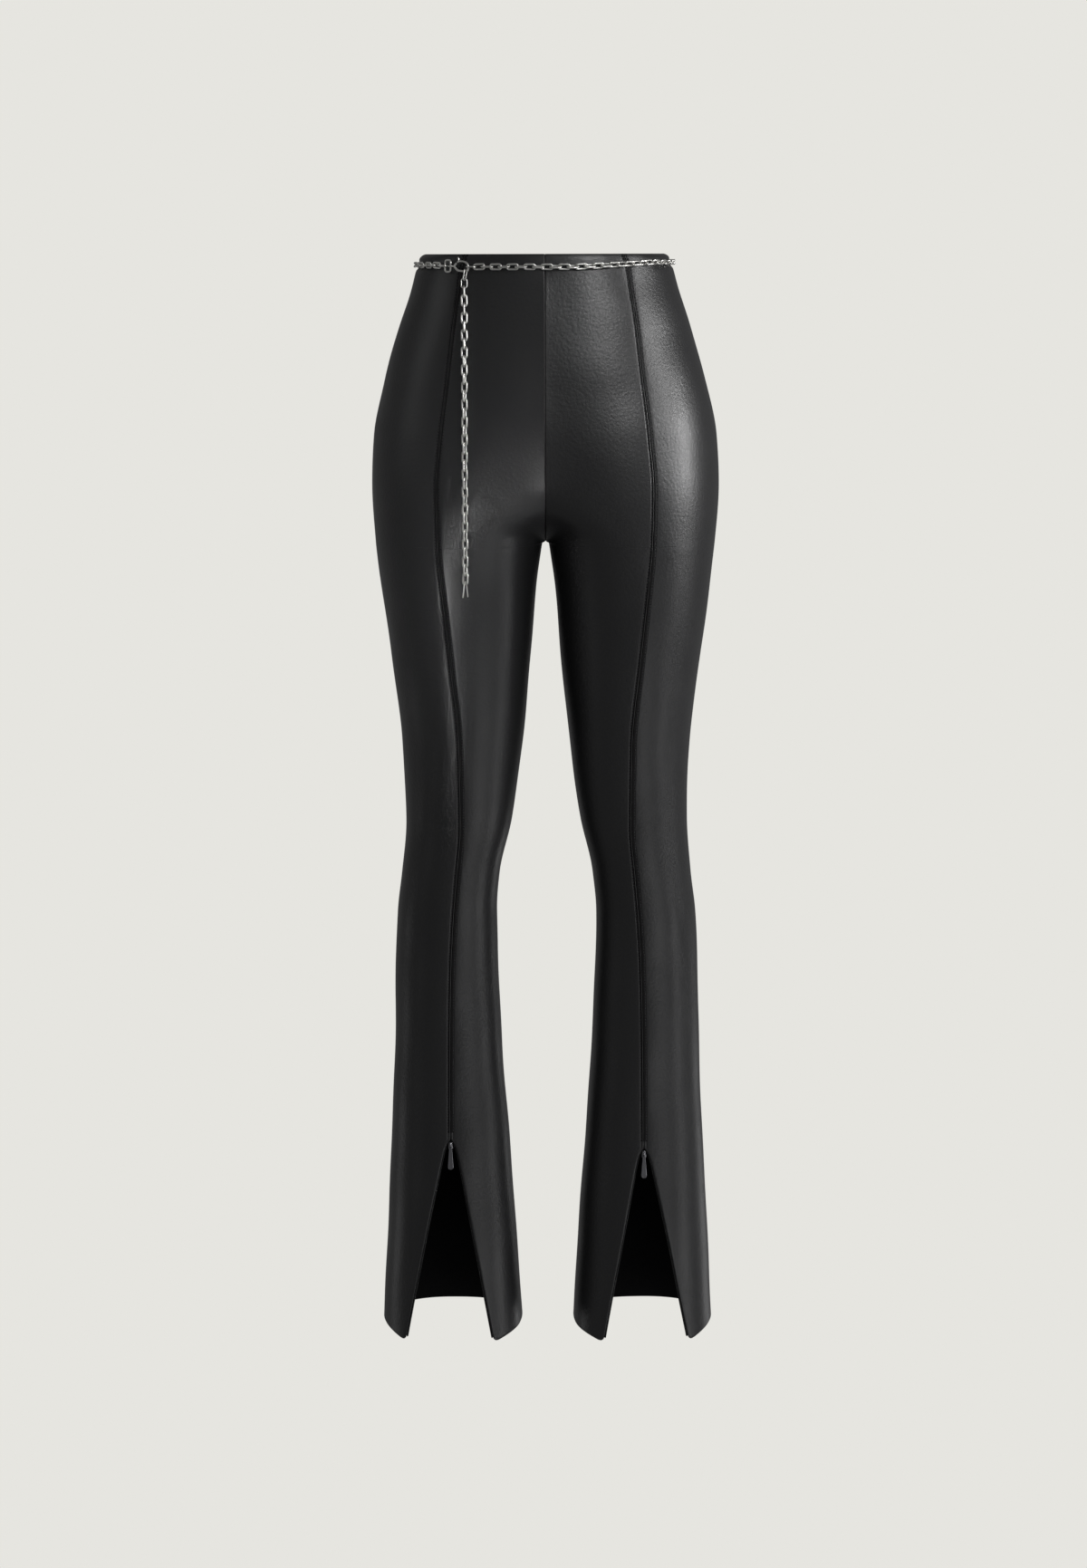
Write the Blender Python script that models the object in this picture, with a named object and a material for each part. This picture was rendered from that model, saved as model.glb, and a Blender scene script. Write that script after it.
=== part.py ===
"""High-waisted flared leather trousers with a chain belt.

Metres, +Z up, the front faces -Y and the wearer's left leg is at +X.
The origin is the middle of the waist, level with the chain belt.
Six cut panels make the cloth. Each leg has two front panels that meet at a long princess seam,
and one back panel. Below the knee the princess seam is left open as a zipped slit.
"""
import math
from collections import namedtuple
from functools import lru_cache

import bmesh
import bpy
import numpy as np
from mathutils import Matrix, Vector

# --- driving dimensions ------------------------------------------------------------------------
WALL = 0.0015                 # leather
GAP = 0.0003                  # between neighbouring pieces
TOP = 0.0148                  # top edge of the waist, above the belt line
TOP_ROLL = 0.006              # radius of the turned top edge
SEAT_TOP = -0.165             # where the centre seams start to curve in to the crotch
CROTCH = -0.258
CROTCH_END = -0.300           # the seat's curve has died out in the thigh
HEM = -1.029
HEM_TIP_DROP = 0.0110         # the front hem's tips hang this much below the rest of the hem
HEM_TIP_REACH = 0.060         # and the drop has died out this far from the slit
SQUARENESS = 0.92             # 1 is an ellipse, less is squarer at the corners

SLIT_TOP = {"R": -0.837, "L": -0.846}
SLIT_SLOPE = 0.208            # how fast each edge of the slit spreads
SLIT_ROUND = 0.0039           # and the rounding at its top
SLIT_ROUND_FALL = 0.005

TAPE_WIDTH = 0.012
TAPE_PROUD = 0.0012           # how far the zip's edge shows past the slit's edge
TAPE_WALL = 0.0008

LINK_LENGTH = 0.0116
LINK_WIDTH = 0.0064
LINK_WIRE = 0.0019
LINK_PITCH = 0.0081
LINK_GRIP = 0.0040            # from a link's middle to where its neighbour pulls
LINK_SHOULDER = 0.62          # width of a link's ends, as a share of its middle
CHAIN_LIFT = 0.0037           # from the cloth to the middle of the chain

BELT_LOW = 0.0026             # height of the chain across the front
BELT_STEPS = 120
RING_X = -0.0905              # where the ring lies across the front
RING_HEIGHT = 0.0126
RING_WIDTH = 0.0084
RING_WIRE = 0.0014
LINK_END = 0.0006             # from the ring's middle to the end of the chain's last link
EYE_OUTER = 0.0027
EYE_WIRE = 0.0013
EYE_SLACK = 0.0003
SHANK_RADIUS = 0.0008
CLAW_RADIUS = 0.0010
GATE_RADIUS = 0.0008
TUBE_ROUNDNESS = 1
CLASP_SPREAD = 0.0008         # how far the claw stands off the chain's line
CLASP_RIGHT = 0.0232          # the clasp's places run from the ring's middle along the belt
CLAW = ((0.0075, 0.0), (0.0093, -0.0020), (0.0120, -0.0036), (0.0155, -0.0042), (0.0210, -0.0042),
        (0.0228, -0.0028), (0.0232, -0.0004), (0.0226, 0.0020), (0.0206, 0.0038), (0.0178, 0.0046))
SHOULDER = ((0.0077, 0.0), (0.0096, 0.0026))
GATE = ((0.0113, 0.0040), (0.0132, 0.0047), (0.0171, 0.0048))
THUMB = ((0.0125, 0.0044), (0.0119, 0.0080))
FIRST_LINK = 0.0027           # from the claw's end to the middle of the chain's first link
FIRST_LINK_LENGTH = 0.0104    # the first link is a thinner ring that the claw holds
FIRST_LINK_WIDTH = 0.0070
FIRST_LINK_WIRE = 0.0013
FIRST_LINK_SHOULDER = 0.9
TWIST_END = 90.0              # degrees, of the even links: 0 lies flat on the cloth
TWIST_FRONT = 110.0
TWIST_BACK = 135.0

TAIL_HOOK_X = 0.0202          # where the hanging end holds the clasp
TAIL_HOOK_Z = -0.0042
HOOK_SLACK = 0.0002
TOP_LINK_LENGTH = 0.0116
TOP_LINK_WIDTH = 0.0052
TOP_LINK_WIRE = 0.0011
TOP_LINK_SHOULDER = 0.9
TOP_LINK_LEAN = math.radians(16)   # the cloth holds the first link this far out from plumb
TAIL_RING_LENGTH = 0.0100     # the first link below it is a thinner ring
TAIL_RING_WIDTH = 0.0064
TAIL_RING_WIRE = 0.0011
TAIL_RING_SHOULDER = 0.8
TAIL_RING_SLACK = 0.0006
TAIL_LINKS = 35
TAIL_STEP = 0.001
TAIL_STEPS = 400
TAIL_LIFT = 0.0050            # from the fullest part of the cloth to the middle of the tail
TAIL_TWIST = 42.0             # degrees that the links turn on the way down
HAIRPIN_RADIUS = 0.0006
HAIRPIN_SLACK = 0.0003
HAIRPIN = ((0.0140, -0.0044), (0.0060, -0.0028), (0.0012, -0.0019), (0.0, -0.0012),
           (0.0, 0.0012), (0.0012, 0.0019), (0.0060, 0.0028), (0.0140, 0.0044))

SLIDER_TOP = 0.0030           # below the top of the slit
SLIDER_HEIGHT = 0.0065
SLIDER_HALF = 0.0022
SLIDER_HALF_TOP = 0.0016
SLIDER_PROUD = 0.0012
SLIDER_DEPTH = 0.0014
PULL_GAP = 0.0003
PULL_HINGE = 0.0052           # below the slider's top
PULL_LENGTH = 0.0215
PULL_HALF = 0.00275
PULL_TOP_HALF = 0.0013
PULL_THICK = 0.0012
PULL_ABOVE = 0.0005
PULL_STEPS = 7

# Half of the garment at each height: how far out the side, the inner leg, the front and the back
# stand, where across the front and back are fullest, and where the princess seam runs.
Ring = namedtuple("Ring", "height side inner front back front_x back_x princess")
RINGS = (
    Ring(+0.0148, 0.1184, 0.0000, 0.0925, 0.0920, 0.0000, 0.0000, 0.0737),
    Ring(+0.0000, 0.1225, 0.0000, 0.0940, 0.0940, 0.0000, 0.0000, 0.0782),
    Ring(-0.0200, 0.1277, 0.0000, 0.0965, 0.0970, 0.0000, 0.0080, 0.0808),
    Ring(-0.0530, 0.1388, 0.0000, 0.1005, 0.1040, 0.0000, 0.0300, 0.0855),
    Ring(-0.1050, 0.1538, 0.0000, 0.1060, 0.1160, 0.0080, 0.0560, 0.0918),
    Ring(-0.1570, 0.1644, 0.0000, 0.1085, 0.1270, 0.0240, 0.0720, 0.0975),
    Ring(-0.2050, 0.1672, 0.0000, 0.1065, 0.1270, 0.0500, 0.0780, 0.1014),
    Ring(-0.2580, 0.1632, 0.0000, 0.1003, 0.1115, 0.0740, 0.0805, 0.1003),
    Ring(-0.2660, 0.1624, 0.0041, 0.0992, 0.1087, 0.0765, 0.0808, 0.0999),
    Ring(-0.3000, 0.1585, 0.0085, 0.0948, 0.0980, 0.0815, 0.0820, 0.0967),
    Ring(-0.3670, 0.1491, 0.0146, 0.0880, 0.0840, 0.0819, 0.0819, 0.0898),
    Ring(-0.4500, 0.1393, 0.0226, 0.0770, 0.0690, 0.0810, 0.0810, 0.0822),
    Ring(-0.5260, 0.1363, 0.0332, 0.0670, 0.0550, 0.0848, 0.0848, 0.0816),
    Ring(-0.5800, 0.1404, 0.0451, 0.0600, 0.0525, 0.0928, 0.0928, 0.0860),
    Ring(-0.6200, 0.1452, 0.0485, 0.0545, 0.0550, 0.0969, 0.0969, 0.0893),
    Ring(-0.6700, 0.1478, 0.0476, 0.0505, 0.0580, 0.0977, 0.0977, 0.0920),
    Ring(-0.7520, 0.1494, 0.0440, 0.0490, 0.0590, 0.0967, 0.0967, 0.0935),
    Ring(-0.8430, 0.1533, 0.0376, 0.0520, 0.0600, 0.0955, 0.0955, 0.0940),
    Ring(-0.9350, 0.1579, 0.0310, 0.0585, 0.0635, 0.0945, 0.0945, 0.0955),
    Ring(-1.0290, 0.1625, 0.0252, 0.0650, 0.0670, 0.0939, 0.0939, 0.0963),
)

# Heights of the rows of points down each panel: where a stretch ends and how many rows it takes.
Stretch = namedtuple("Stretch", "end rows")
HIP_STRETCHES = (Stretch(-0.020, 2), Stretch(SEAT_TOP, 5))
THIGH_STRETCHES = (Stretch(-0.266, 1), Stretch(-0.300, 1), Stretch(-0.540, 5), Stretch(-0.640, 4))
SEAT_ROWS = 7
ROLL_ROWS = 3
CALF_ROWS = 4
SLIT_ROWS = 6
FRONT_INNER_COLUMNS = 5
FRONT_OUTER_COLUMNS = 4
BACK_COLUMNS = 10
RING_STEPS = 48               # points round each quarter of a section


def smooth(height, column):
    """One column of RINGS at any height, on a smooth curve through its rows."""
    heights = [-ring.height for ring in RINGS]
    values = [getattr(ring, column) for ring in RINGS]
    where = min(max(-height, heights[0]), heights[-1])
    low = min(max(int(np.searchsorted(heights, where)) - 1, 0), len(heights) - 2)
    step = heights[low + 1] - heights[low]

    def slope(index):
        if index in (0, len(heights) - 1):
            near = min(max(index, 1), len(heights) - 1)
            return (values[near] - values[near - 1]) / (heights[near] - heights[near - 1])
        before = (values[index] - values[index - 1]) / (heights[index] - heights[index - 1])
        after = (values[index + 1] - values[index]) / (heights[index + 1] - heights[index])
        if before * after <= 0:
            return 0.0
        return 2 * before * after / (before + after)

    t = (where - heights[low]) / step
    return (values[low] * (1 + 2 * t) * (1 - t) ** 2
            + slope(low) * step * t * (1 - t) ** 2
            + values[low + 1] * t * t * (3 - 2 * t)
            + slope(low + 1) * step * t * t * (t - 1))


def ease(value):
    value = min(max(value, 0.0), 1.0)
    return value * value * (3 - 2 * value)


def seam_point(height, front):
    """Centre seam above the crotch, inner-leg seam below it."""
    middle = (smooth(height, "back") - smooth(height, "front")) / 2
    if height <= CROTCH:
        return smooth(height, "inner") + GAP / 2, middle
    hollow = 0.008 * ease((0.0 - height) / -SEAT_TOP)
    if height >= SEAT_TOP:
        surface = -smooth(height, "front") if front else smooth(height, "back") - hollow
        return GAP / 2, surface
    start = -smooth(SEAT_TOP, "front") if front else smooth(SEAT_TOP, "back") - 0.008
    middle = (smooth(CROTCH, "back") - smooth(CROTCH, "front")) / 2
    down = (SEAT_TOP - height) / (SEAT_TOP - CROTCH)
    return GAP / 2, middle + (start - middle) * math.sqrt(max(1 - down * down, 0.0))


@lru_cache(maxsize=None)
def section(height):
    """Outline of one leg, or of half the hips, from the front seam over the side to the back one.

    Gives its points, the length along it to each, and the length to the side seam.
    """
    side, front, back, front_x, back_x = (
        smooth(height, column) for column in ("side", "front", "back", "front_x", "back_x"))
    middle = (back - front) / 2
    tuck = ease((SEAT_TOP - height) / (SEAT_TOP - CROTCH))
    share = np.linspace(0, 1, RING_STEPS)
    sine = np.sin(share * math.pi / 2)
    cosine = np.cos(share * math.pi / 2)
    wave = (1 - np.cos(share * math.pi)) / 2

    def from_seam(seam, full):
        across = (1 - tuck) * share + tuck * (1 - cosine)
        along = (1 - tuck) * wave + tuck * sine
        return np.column_stack((seam[0] + (full[0] - seam[0]) * across,
                                seam[1] + (full[1] - seam[1]) * along))

    front_full = (max(front_x, GAP), -front)
    back_full = (max(back_x, GAP), back)
    inner_front = from_seam(seam_point(height, True), front_full)
    outer_front = np.column_stack((front_full[0] + (side - front_full[0]) * sine ** SQUARENESS,
                                   middle - (middle + front) * cosine ** SQUARENESS))
    outer_back = np.column_stack((back_full[0] + (side - back_full[0]) * cosine ** SQUARENESS,
                                  middle + (back - middle) * sine ** SQUARENESS))
    inner_back = from_seam(seam_point(height, False), back_full)[::-1]
    points = np.vstack((inner_front, outer_front[1:], outer_back[1:], inner_back[1:]))

    inset = 0.0
    if height > TOP - TOP_ROLL:
        inset = TOP_ROLL - math.sqrt(max(TOP_ROLL ** 2 - (height - TOP + TOP_ROLL) ** 2, 0.0))
    shrink = 1 - inset / np.maximum(np.hypot(points[:, 0], points[:, 1]), 1e-6)
    points = points * shrink[:, None]
    points[:, 0] = np.maximum(points[:, 0], GAP / 2)

    lengths = np.concatenate(([0.0], np.cumsum(np.hypot(*np.diff(points, axis=0).T))))
    return points, lengths, lengths[2 * RING_STEPS - 2]


def slit_half(height, leg):
    """Half the width of the open slit."""
    below = SLIT_TOP[leg] - height
    if below <= 0:
        return 0.0
    return SLIT_SLOPE * below + SLIT_ROUND * (1 - math.exp(-below / SLIT_ROUND_FALL))


def edges(height, leg):
    """Lengths along the section to each panel's two edges."""
    points, lengths, side = section(height)
    front = slice(0, 2 * RING_STEPS - 1)
    princess = smooth(height, "princess")
    half = slit_half(height, leg)
    near, far = np.interp((princess - half, princess + half), points[front, 0], lengths[front])
    return {"front_inner": (GAP / 2, near - GAP / 2),
            "front_outer": (far + GAP / 2, side - GAP / 2),
            "back": (side + GAP / 2, lengths[-1] - GAP / 2)}


def skin(height, along, leg):
    """Point of the cloth's outer face: the hem's tips hang lower beside the slit."""
    points, lengths, _ = section(height)
    x = np.interp(along, lengths, points[:, 0])
    y = np.interp(along, lengths, points[:, 1])
    down = (SLIT_TOP[leg] - height) / (SLIT_TOP[leg] - HEM)
    drop = 0.0
    if down > 0:
        panel_edges = edges(height, leg)
        near = panel_edges["front_inner"][1]
        far = panel_edges["front_outer"][0]
        away = max(near - along, along - far, 0.0)
        drop = HEM_TIP_DROP * down ** 2 * max(1 - away / HEM_TIP_REACH, 0.0) ** 2
    return Vector((x, y, height - drop))


def depth_point(height, along, leg, depth):
    """Point at a depth below the cloth's outer face."""
    step = 0.0004
    total = section(height)[1][-1]
    over = skin(height, min(along + step, total), leg) - skin(height, max(along - step, 0.0), leg)
    low, high = max(height - step, HEM), min(height + step, TOP - 0.00002)

    def same_place(other):
        return along * section(other)[1][-1] / total

    down = skin(low, same_place(low), leg) - skin(high, same_place(high), leg)
    outward = down.cross(over).normalized()
    return skin(height, along, leg) - outward * depth


def rows_down(stretches, start):
    heights = []
    for stretch in stretches:
        heights += list(np.linspace(start, stretch.end, stretch.rows + 1)[1:])
        start = stretch.end
    return heights


def cloth_rows(leg):
    """Heights of the rows of points, closer together at the turned top and round the crotch."""
    turns = np.linspace(math.radians(85), 0, ROLL_ROWS + 1)
    rows = [TOP - TOP_ROLL + TOP_ROLL * math.sin(turn) for turn in turns]
    rows += rows_down(HIP_STRETCHES, rows[-1])
    seat = np.linspace(0, math.pi / 2, SEAT_ROWS + 1)[1:]
    rows += [SEAT_TOP + (CROTCH - SEAT_TOP) * math.sin(turn) for turn in seat]
    rows += rows_down(THIGH_STRETCHES, CROTCH)
    top = SLIT_TOP[leg]
    below = [top - 0.003, top - 0.010]
    rows += rows_down((Stretch(top, CALF_ROWS),), rows[-1]) + below
    rows += rows_down((Stretch(HEM, SLIT_ROWS),), below[-1])
    return rows


def wall_between(outer, inner):
    """Closed wall from its outer and inner grids of points."""
    rows, columns = len(outer), len(outer[0])
    vertices = [point for grid in (outer, inner) for row in grid for point in row]
    size = rows * columns
    faces = []
    for row in range(rows - 1):
        for column in range(columns - 1):
            corner = row * columns + column
            below = corner + columns
            for face in ((corner, below, below + 1), (corner, below + 1, corner + 1)):
                faces.append(face)
                faces.append(tuple(size + index for index in reversed(face)))
    border = [(0, column) for column in range(columns)]
    border += [(row, columns - 1) for row in range(1, rows)]
    border += [(rows - 1, column) for column in range(columns - 2, -1, -1)]
    border += [(row, 0) for row in range(rows - 2, 0, -1)]
    loop = [row * columns + column for row, column in border]
    for first, second in zip(loop, loop[1:] + loop[:1]):
        faces.append((first, second, second + size, first + size))
    return vertices, faces


# --- objects and materials ---------------------------------------------------------------------
for old in list(bpy.data.objects):
    bpy.data.objects.remove(old)

collection = bpy.data.collections.new("leather_trousers")
bpy.context.scene.collection.children.link(collection)


def material(name, colour, roughness, metallic):
    made = bpy.data.materials.new(name)
    made.use_nodes = True
    shader = made.node_tree.nodes["Principled BSDF"]
    shader.inputs["Base Color"].default_value = (*colour, 1.0)
    shader.inputs["Roughness"].default_value = roughness
    shader.inputs["Metallic"].default_value = metallic
    return made


def add_object(name, mesh, finish):
    """Object of a closed mesh with its faces turned outwards and its soft edges shaded smooth."""
    bm = bmesh.new()
    bm.from_mesh(mesh)
    bmesh.ops.recalc_face_normals(bm, faces=bm.faces)
    bm.to_mesh(mesh)
    bm.free()
    mesh.shade_smooth()
    mesh.set_sharp_from_angle(angle=math.radians(35))
    mesh.materials.clear()
    mesh.materials.append(finish)
    made = bpy.data.objects.new(name, mesh)
    collection.objects.link(made)
    return made


def mesh_of(name, vertices, faces):
    mesh = bpy.data.meshes.new(name)
    mesh.from_pydata([tuple(vertex) for vertex in vertices], [], faces)
    return mesh


def on_side(point, leg):
    """The left leg is drawn; the right one is its mirror image."""
    return Vector((point.x if leg == "L" else -point.x, point.y, point.z))


def hang_from(piece, joint):
    """Put a moving piece's origin on the axis of its joint."""
    piece.data.transform(Matrix.Translation(-joint))
    piece.location = joint


# --- the cloth panels --------------------------------------------------------------------------
def panel_width(piece, height, leg):
    start, end = edges(height, leg)[piece]
    return end - start


def even_shares(piece, height, leg, columns):
    """Widths from a panel's fixed seam to its columns.

    The width grows fast close above the crotch. Only the columns near the crotch take that up.
    """
    width = panel_width(piece, height, leg)
    steady = width
    if CROTCH_END < height < SEAT_TOP:
        down = (SEAT_TOP - height) / (SEAT_TOP - CROTCH_END)
        steady = ((1 - down) * panel_width(piece, SEAT_TOP, leg)
                  + down * panel_width(piece, CROTCH_END, leg))
    shares = np.linspace(0, 1, columns + 1)
    return shares * (steady + (width - steady) * shares ** 4)


def places_across(piece, height, leg):
    """Lengths to a panel's columns of points. One column runs along the edge of the zip's tape."""
    start, end = edges(height, leg)[piece]
    if piece == "front_inner":
        from_seam = even_shares(piece, height, leg, FRONT_INNER_COLUMNS - 1)[::-1]
        near = end - TAPE_WIDTH - from_seam * (end - start - TAPE_WIDTH) / (end - start)
        return [*near, end]
    if piece == "front_outer":
        return [start, *np.linspace(start + TAPE_WIDTH, end, FRONT_OUTER_COLUMNS)]
    return list(start + even_shares(piece, height, leg, BACK_COLUMNS))


def build_panel(piece, leg):
    outer, inner = [], []
    for height in cloth_rows(leg):
        places = places_across(piece, height, leg)
        outer.append([on_side(skin(height, along, leg), leg) for along in places])
        inner.append([on_side(depth_point(height, along, leg, WALL), leg) for along in places])
    name = f"{piece}_{leg}"
    return add_object(name, mesh_of(name, *wall_between(outer, inner)), leather)


# --- the zip in each slit ----------------------------------------------------------------------
def build_tape(edge, leg):
    """Half of the zip, sewn behind one edge of the slit, from the panel's own points moved in."""
    near = WALL + GAP
    outer, inner = [], []
    for height in [row for row in cloth_rows(leg) if row < SLIT_TOP[leg]]:
        if edge == "inner":
            places = places_across("front_inner", height, leg)[-2:]
            places.append(places[-1] + TAPE_PROUD)
        else:
            places = places_across("front_outer", height, leg)[:2]
            places.insert(0, places[0] - TAPE_PROUD)
        outer.append([on_side(depth_point(height, along, leg, near), leg) for along in places])
        inner.append([on_side(depth_point(height, along, leg, near + TAPE_WALL), leg)
                      for along in places])
    name = f"zip_tape_{edge}_{leg}"
    return add_object(name, mesh_of(name, *wall_between(outer, inner)), zip_tape)


# --- the chain belt ----------------------------------------------------------------------------
def belt_height(x):
    """The chain sags a little at the middle and stands higher at the wearer's left."""
    return BELT_LOW + 0.0040 * ease((x - 0.02) / 0.10) + 0.0019 * ease((-x - 0.07) / 0.05)


def belt_path():
    """Points round the waist from the front middle by the left side, off the cloth, and lengths."""
    points = []
    for leg, order in (("L", 1), ("R", -1)):
        half = []
        for share in np.linspace(0, 1, BELT_STEPS):
            height = BELT_LOW
            for _ in range(3):
                x = skin(height, share * section(height)[1][-1], leg).x
                height = belt_height(x if leg == "L" else -x)
            along = share * section(height)[1][-1]
            half.append(on_side(depth_point(height, along, leg, -CHAIN_LIFT), leg))
        points += half[::order]
    points = np.array([tuple(point) for point in points + points[:1]])
    steps = np.linalg.norm(np.diff(points, axis=0), axis=1)
    return points, np.concatenate(([0.0], np.cumsum(steps)))


def belt_spot(along):
    points, lengths = BELT
    return Vector([np.interp(along % lengths[-1], lengths, points[:, axis]) for axis in range(3)])


def belt_frame(start, end):
    """Place between two spots on the belt: X runs to the wearer's left, Y into the body, Z up."""
    first, second = belt_spot(start), belt_spot(end)
    ahead = (second - first).normalized()
    inward = Vector((0, 0, 1)).cross(ahead).normalized()
    turned = Matrix((ahead, inward, ahead.cross(inward))).transposed().to_4x4()
    return Matrix.Translation((first + second) / 2) @ turned


def link_loop(length, width, shoulder):
    """Six corners of a link's outline, long in X and wide in Z."""
    a, b = length / 2, width / 2
    return [(a, -shoulder * b), (a, shoulder * b), (0, b),
            (-a, shoulder * b), (-a, -shoulder * b), (0, -b)]


def add_link(bm, place, length=LINK_LENGTH, width=LINK_WIDTH, wire=LINK_WIRE,
             shoulder=LINK_SHOULDER):
    """Ring of square wire, as wide as the outline, with its hole through Y."""
    rings = []
    outer = link_loop(length, width, shoulder)
    inner = link_loop(length - 2 * wire, width - 2 * wire, shoulder)
    for (outer_x, outer_z), (inner_x, inner_z) in zip(outer, inner):
        corners = ((outer_x, -wire / 2, outer_z), (outer_x, wire / 2, outer_z),
                   (inner_x, wire / 2, inner_z), (inner_x, -wire / 2, inner_z))
        rings.append([bm.verts.new(place @ Vector(corner)) for corner in corners])
    for ring, after in zip(rings, rings[1:] + rings[:1]):
        for corner in range(4):
            beside = (corner + 1) % 4
            bm.faces.new((ring[corner], after[corner], after[beside], ring[beside]))


def mesh_of_links(name, places, **sizes):
    bm = bmesh.new()
    for place in places:
        add_link(bm, place, **sizes)
    bmesh.ops.recalc_face_normals(bm, faces=bm.faces)
    mesh = bpy.data.meshes.new(name)
    bm.to_mesh(mesh)
    bm.free()
    return mesh


def joined(name, meshes):
    """One closed mesh of shapes that run into each other."""
    objects = []
    for mesh in meshes:
        objects.append(bpy.data.objects.new(name, mesh))
        bpy.context.scene.collection.objects.link(objects[-1])
    base = objects[0]
    for other in objects[1:]:
        union = base.modifiers.new("join", "BOOLEAN")
        union.operation = "UNION"
        union.object = other
    depsgraph = bpy.context.evaluated_depsgraph_get()
    made = bpy.data.meshes.new_from_object(base.evaluated_get(depsgraph))
    for used in objects:
        bpy.data.objects.remove(used)
    return made


def chain_of(name, places, *end_rings):
    """Links that hold each other, joined where they touch."""
    return joined(name, [mesh_of_links(name, places[0::2]), mesh_of_links(name, places[1::2]),
                         *end_rings])


def tube_mesh(name, points, radius, place=Matrix()):
    """Round wire along points, with closed ends."""
    curve = bpy.data.curves.new(name, "CURVE")
    curve.dimensions = "3D"
    curve.bevel_depth = radius
    curve.bevel_resolution = TUBE_ROUNDNESS
    curve.use_fill_caps = True
    spline = curve.splines.new("POLY")
    spline.points.add(len(points) - 1)
    for slot, point in zip(spline.points, points):
        slot.co = (*(place @ Vector(point)), 1.0)
    drawn = bpy.data.objects.new(name, curve)
    bpy.context.scene.collection.objects.link(drawn)
    depsgraph = bpy.context.evaluated_depsgraph_get()
    mesh = bpy.data.meshes.new_from_object(drawn.evaluated_get(depsgraph))
    bpy.data.objects.remove(drawn)
    bm = bmesh.new()
    bm.from_mesh(mesh)
    bmesh.ops.remove_doubles(bm, verts=bm.verts, dist=0.00001)
    bmesh.ops.recalc_face_normals(bm, faces=bm.faces)
    bm.to_mesh(mesh)
    bm.free()
    return mesh


def along_at(x):
    """Length along the belt's path to a place across the front."""
    points, lengths = BELT
    front = points[:, 1] < 0
    where = lengths[front] - lengths[-1] * (points[front, 0] < 0)
    order = np.argsort(where)
    return float(np.interp(x, points[front, 0][order], where[order]))


def chain_twist(share):
    """Turn of the even links about the chain, in degrees: more at the sides than at the ends."""
    return (TWIST_END + (TWIST_FRONT - TWIST_END) * ease(share / 0.12)
            + (TWIST_BACK - TWIST_FRONT) * ease((share - 0.12) / 0.14)
            - (TWIST_BACK - TWIST_END) * ease((share - 0.88) / 0.12))


def build_belt():
    ring_at = along_at(RING_X)
    total = BELT[1][-1]
    first = ring_at + CLASP_RIGHT + FIRST_LINK
    last = ring_at + total - LINK_END - LINK_LENGTH / 2
    steps = 2 * round((last - first) / (2 * LINK_PITCH))
    places = []
    for index in range(steps + 1):
        share = index / steps
        middle = first + (last - first) * share
        twist = Matrix.Rotation(math.radians(chain_twist(share) + 90 * (index % 2)), 4, "X")
        places.append(belt_frame(middle - LINK_GRIP, middle + LINK_GRIP) @ twist)
    clasp_ring = mesh_of_links("clasp_ring", places[:1], length=FIRST_LINK_LENGTH,
                               width=FIRST_LINK_WIDTH, wire=FIRST_LINK_WIRE,
                               shoulder=FIRST_LINK_SHOULDER)
    add_object("belt_chain", chain_of("belt_chain", places[1:], clasp_ring), chain_steel)

    ring_half = RING_WIDTH / 2
    ring_place = (belt_frame(ring_at - ring_half, ring_at + ring_half)
                  @ Matrix.Rotation(math.radians(90), 4, "Y"))
    ring = mesh_of_links("belt_ring", [ring_place], length=RING_HEIGHT, width=RING_WIDTH,
                         wire=RING_WIRE)
    add_object("belt_ring", ring, chain_steel)

    eye_x = RING_WIDTH / 2 - RING_WIRE / 2 + EYE_SLACK
    clasp_place = (belt_frame(ring_at + eye_x, ring_at + CLASP_RIGHT)
                   @ Matrix.Rotation(CLASP_SPREAD / CLASP_RIGHT, 4, "Z").inverted()
                   @ Matrix.Translation((-(eye_x + CLASP_RIGHT) / 2, -CLASP_SPREAD / 2, 0)))
    eye = mesh_of_links("eye", [clasp_place @ Matrix.Translation((eye_x, 0, 0))
                                @ Matrix.Rotation(math.radians(90), 4, "X")],
                        length=2 * EYE_OUTER, width=2 * EYE_OUTER, wire=EYE_WIRE)
    shank = tube_mesh("shank", ((eye_x + EYE_OUTER - EYE_WIRE / 2, 0, 0), (0.0078, 0, 0)),
                      SHANK_RADIUS, clasp_place)
    claw = tube_mesh("claw", [(x, 0, z) for x, z in CLAW], CLAW_RADIUS, clasp_place)
    shoulder = tube_mesh("shoulder", [(x, 0, z) for x, z in SHOULDER], CLAW_RADIUS, clasp_place)
    add_object("belt_clasp", joined("belt_clasp", [claw, shoulder, shank, eye]), chain_steel)
    gate = tube_mesh("gate", [(x, 0, z) for x, z in GATE], GATE_RADIUS, clasp_place)
    thumb = tube_mesh("thumb", [(x, 0, z) for x, z in THUMB], GATE_RADIUS, clasp_place)
    lever = add_object("clasp_lever", joined("clasp_lever", [gate, thumb]), chain_steel)
    hang_from(lever, clasp_place @ Vector((GATE[0][0], 0, GATE[0][1])))
    return clasp_place


# --- the chain's hanging end -------------------------------------------------------------------
def front_surface(x, height):
    points, _, _ = section(height)
    half = points[:2 * RING_STEPS - 1]
    return float(np.interp(abs(x), half[:, 0], half[:, 1]))


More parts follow.
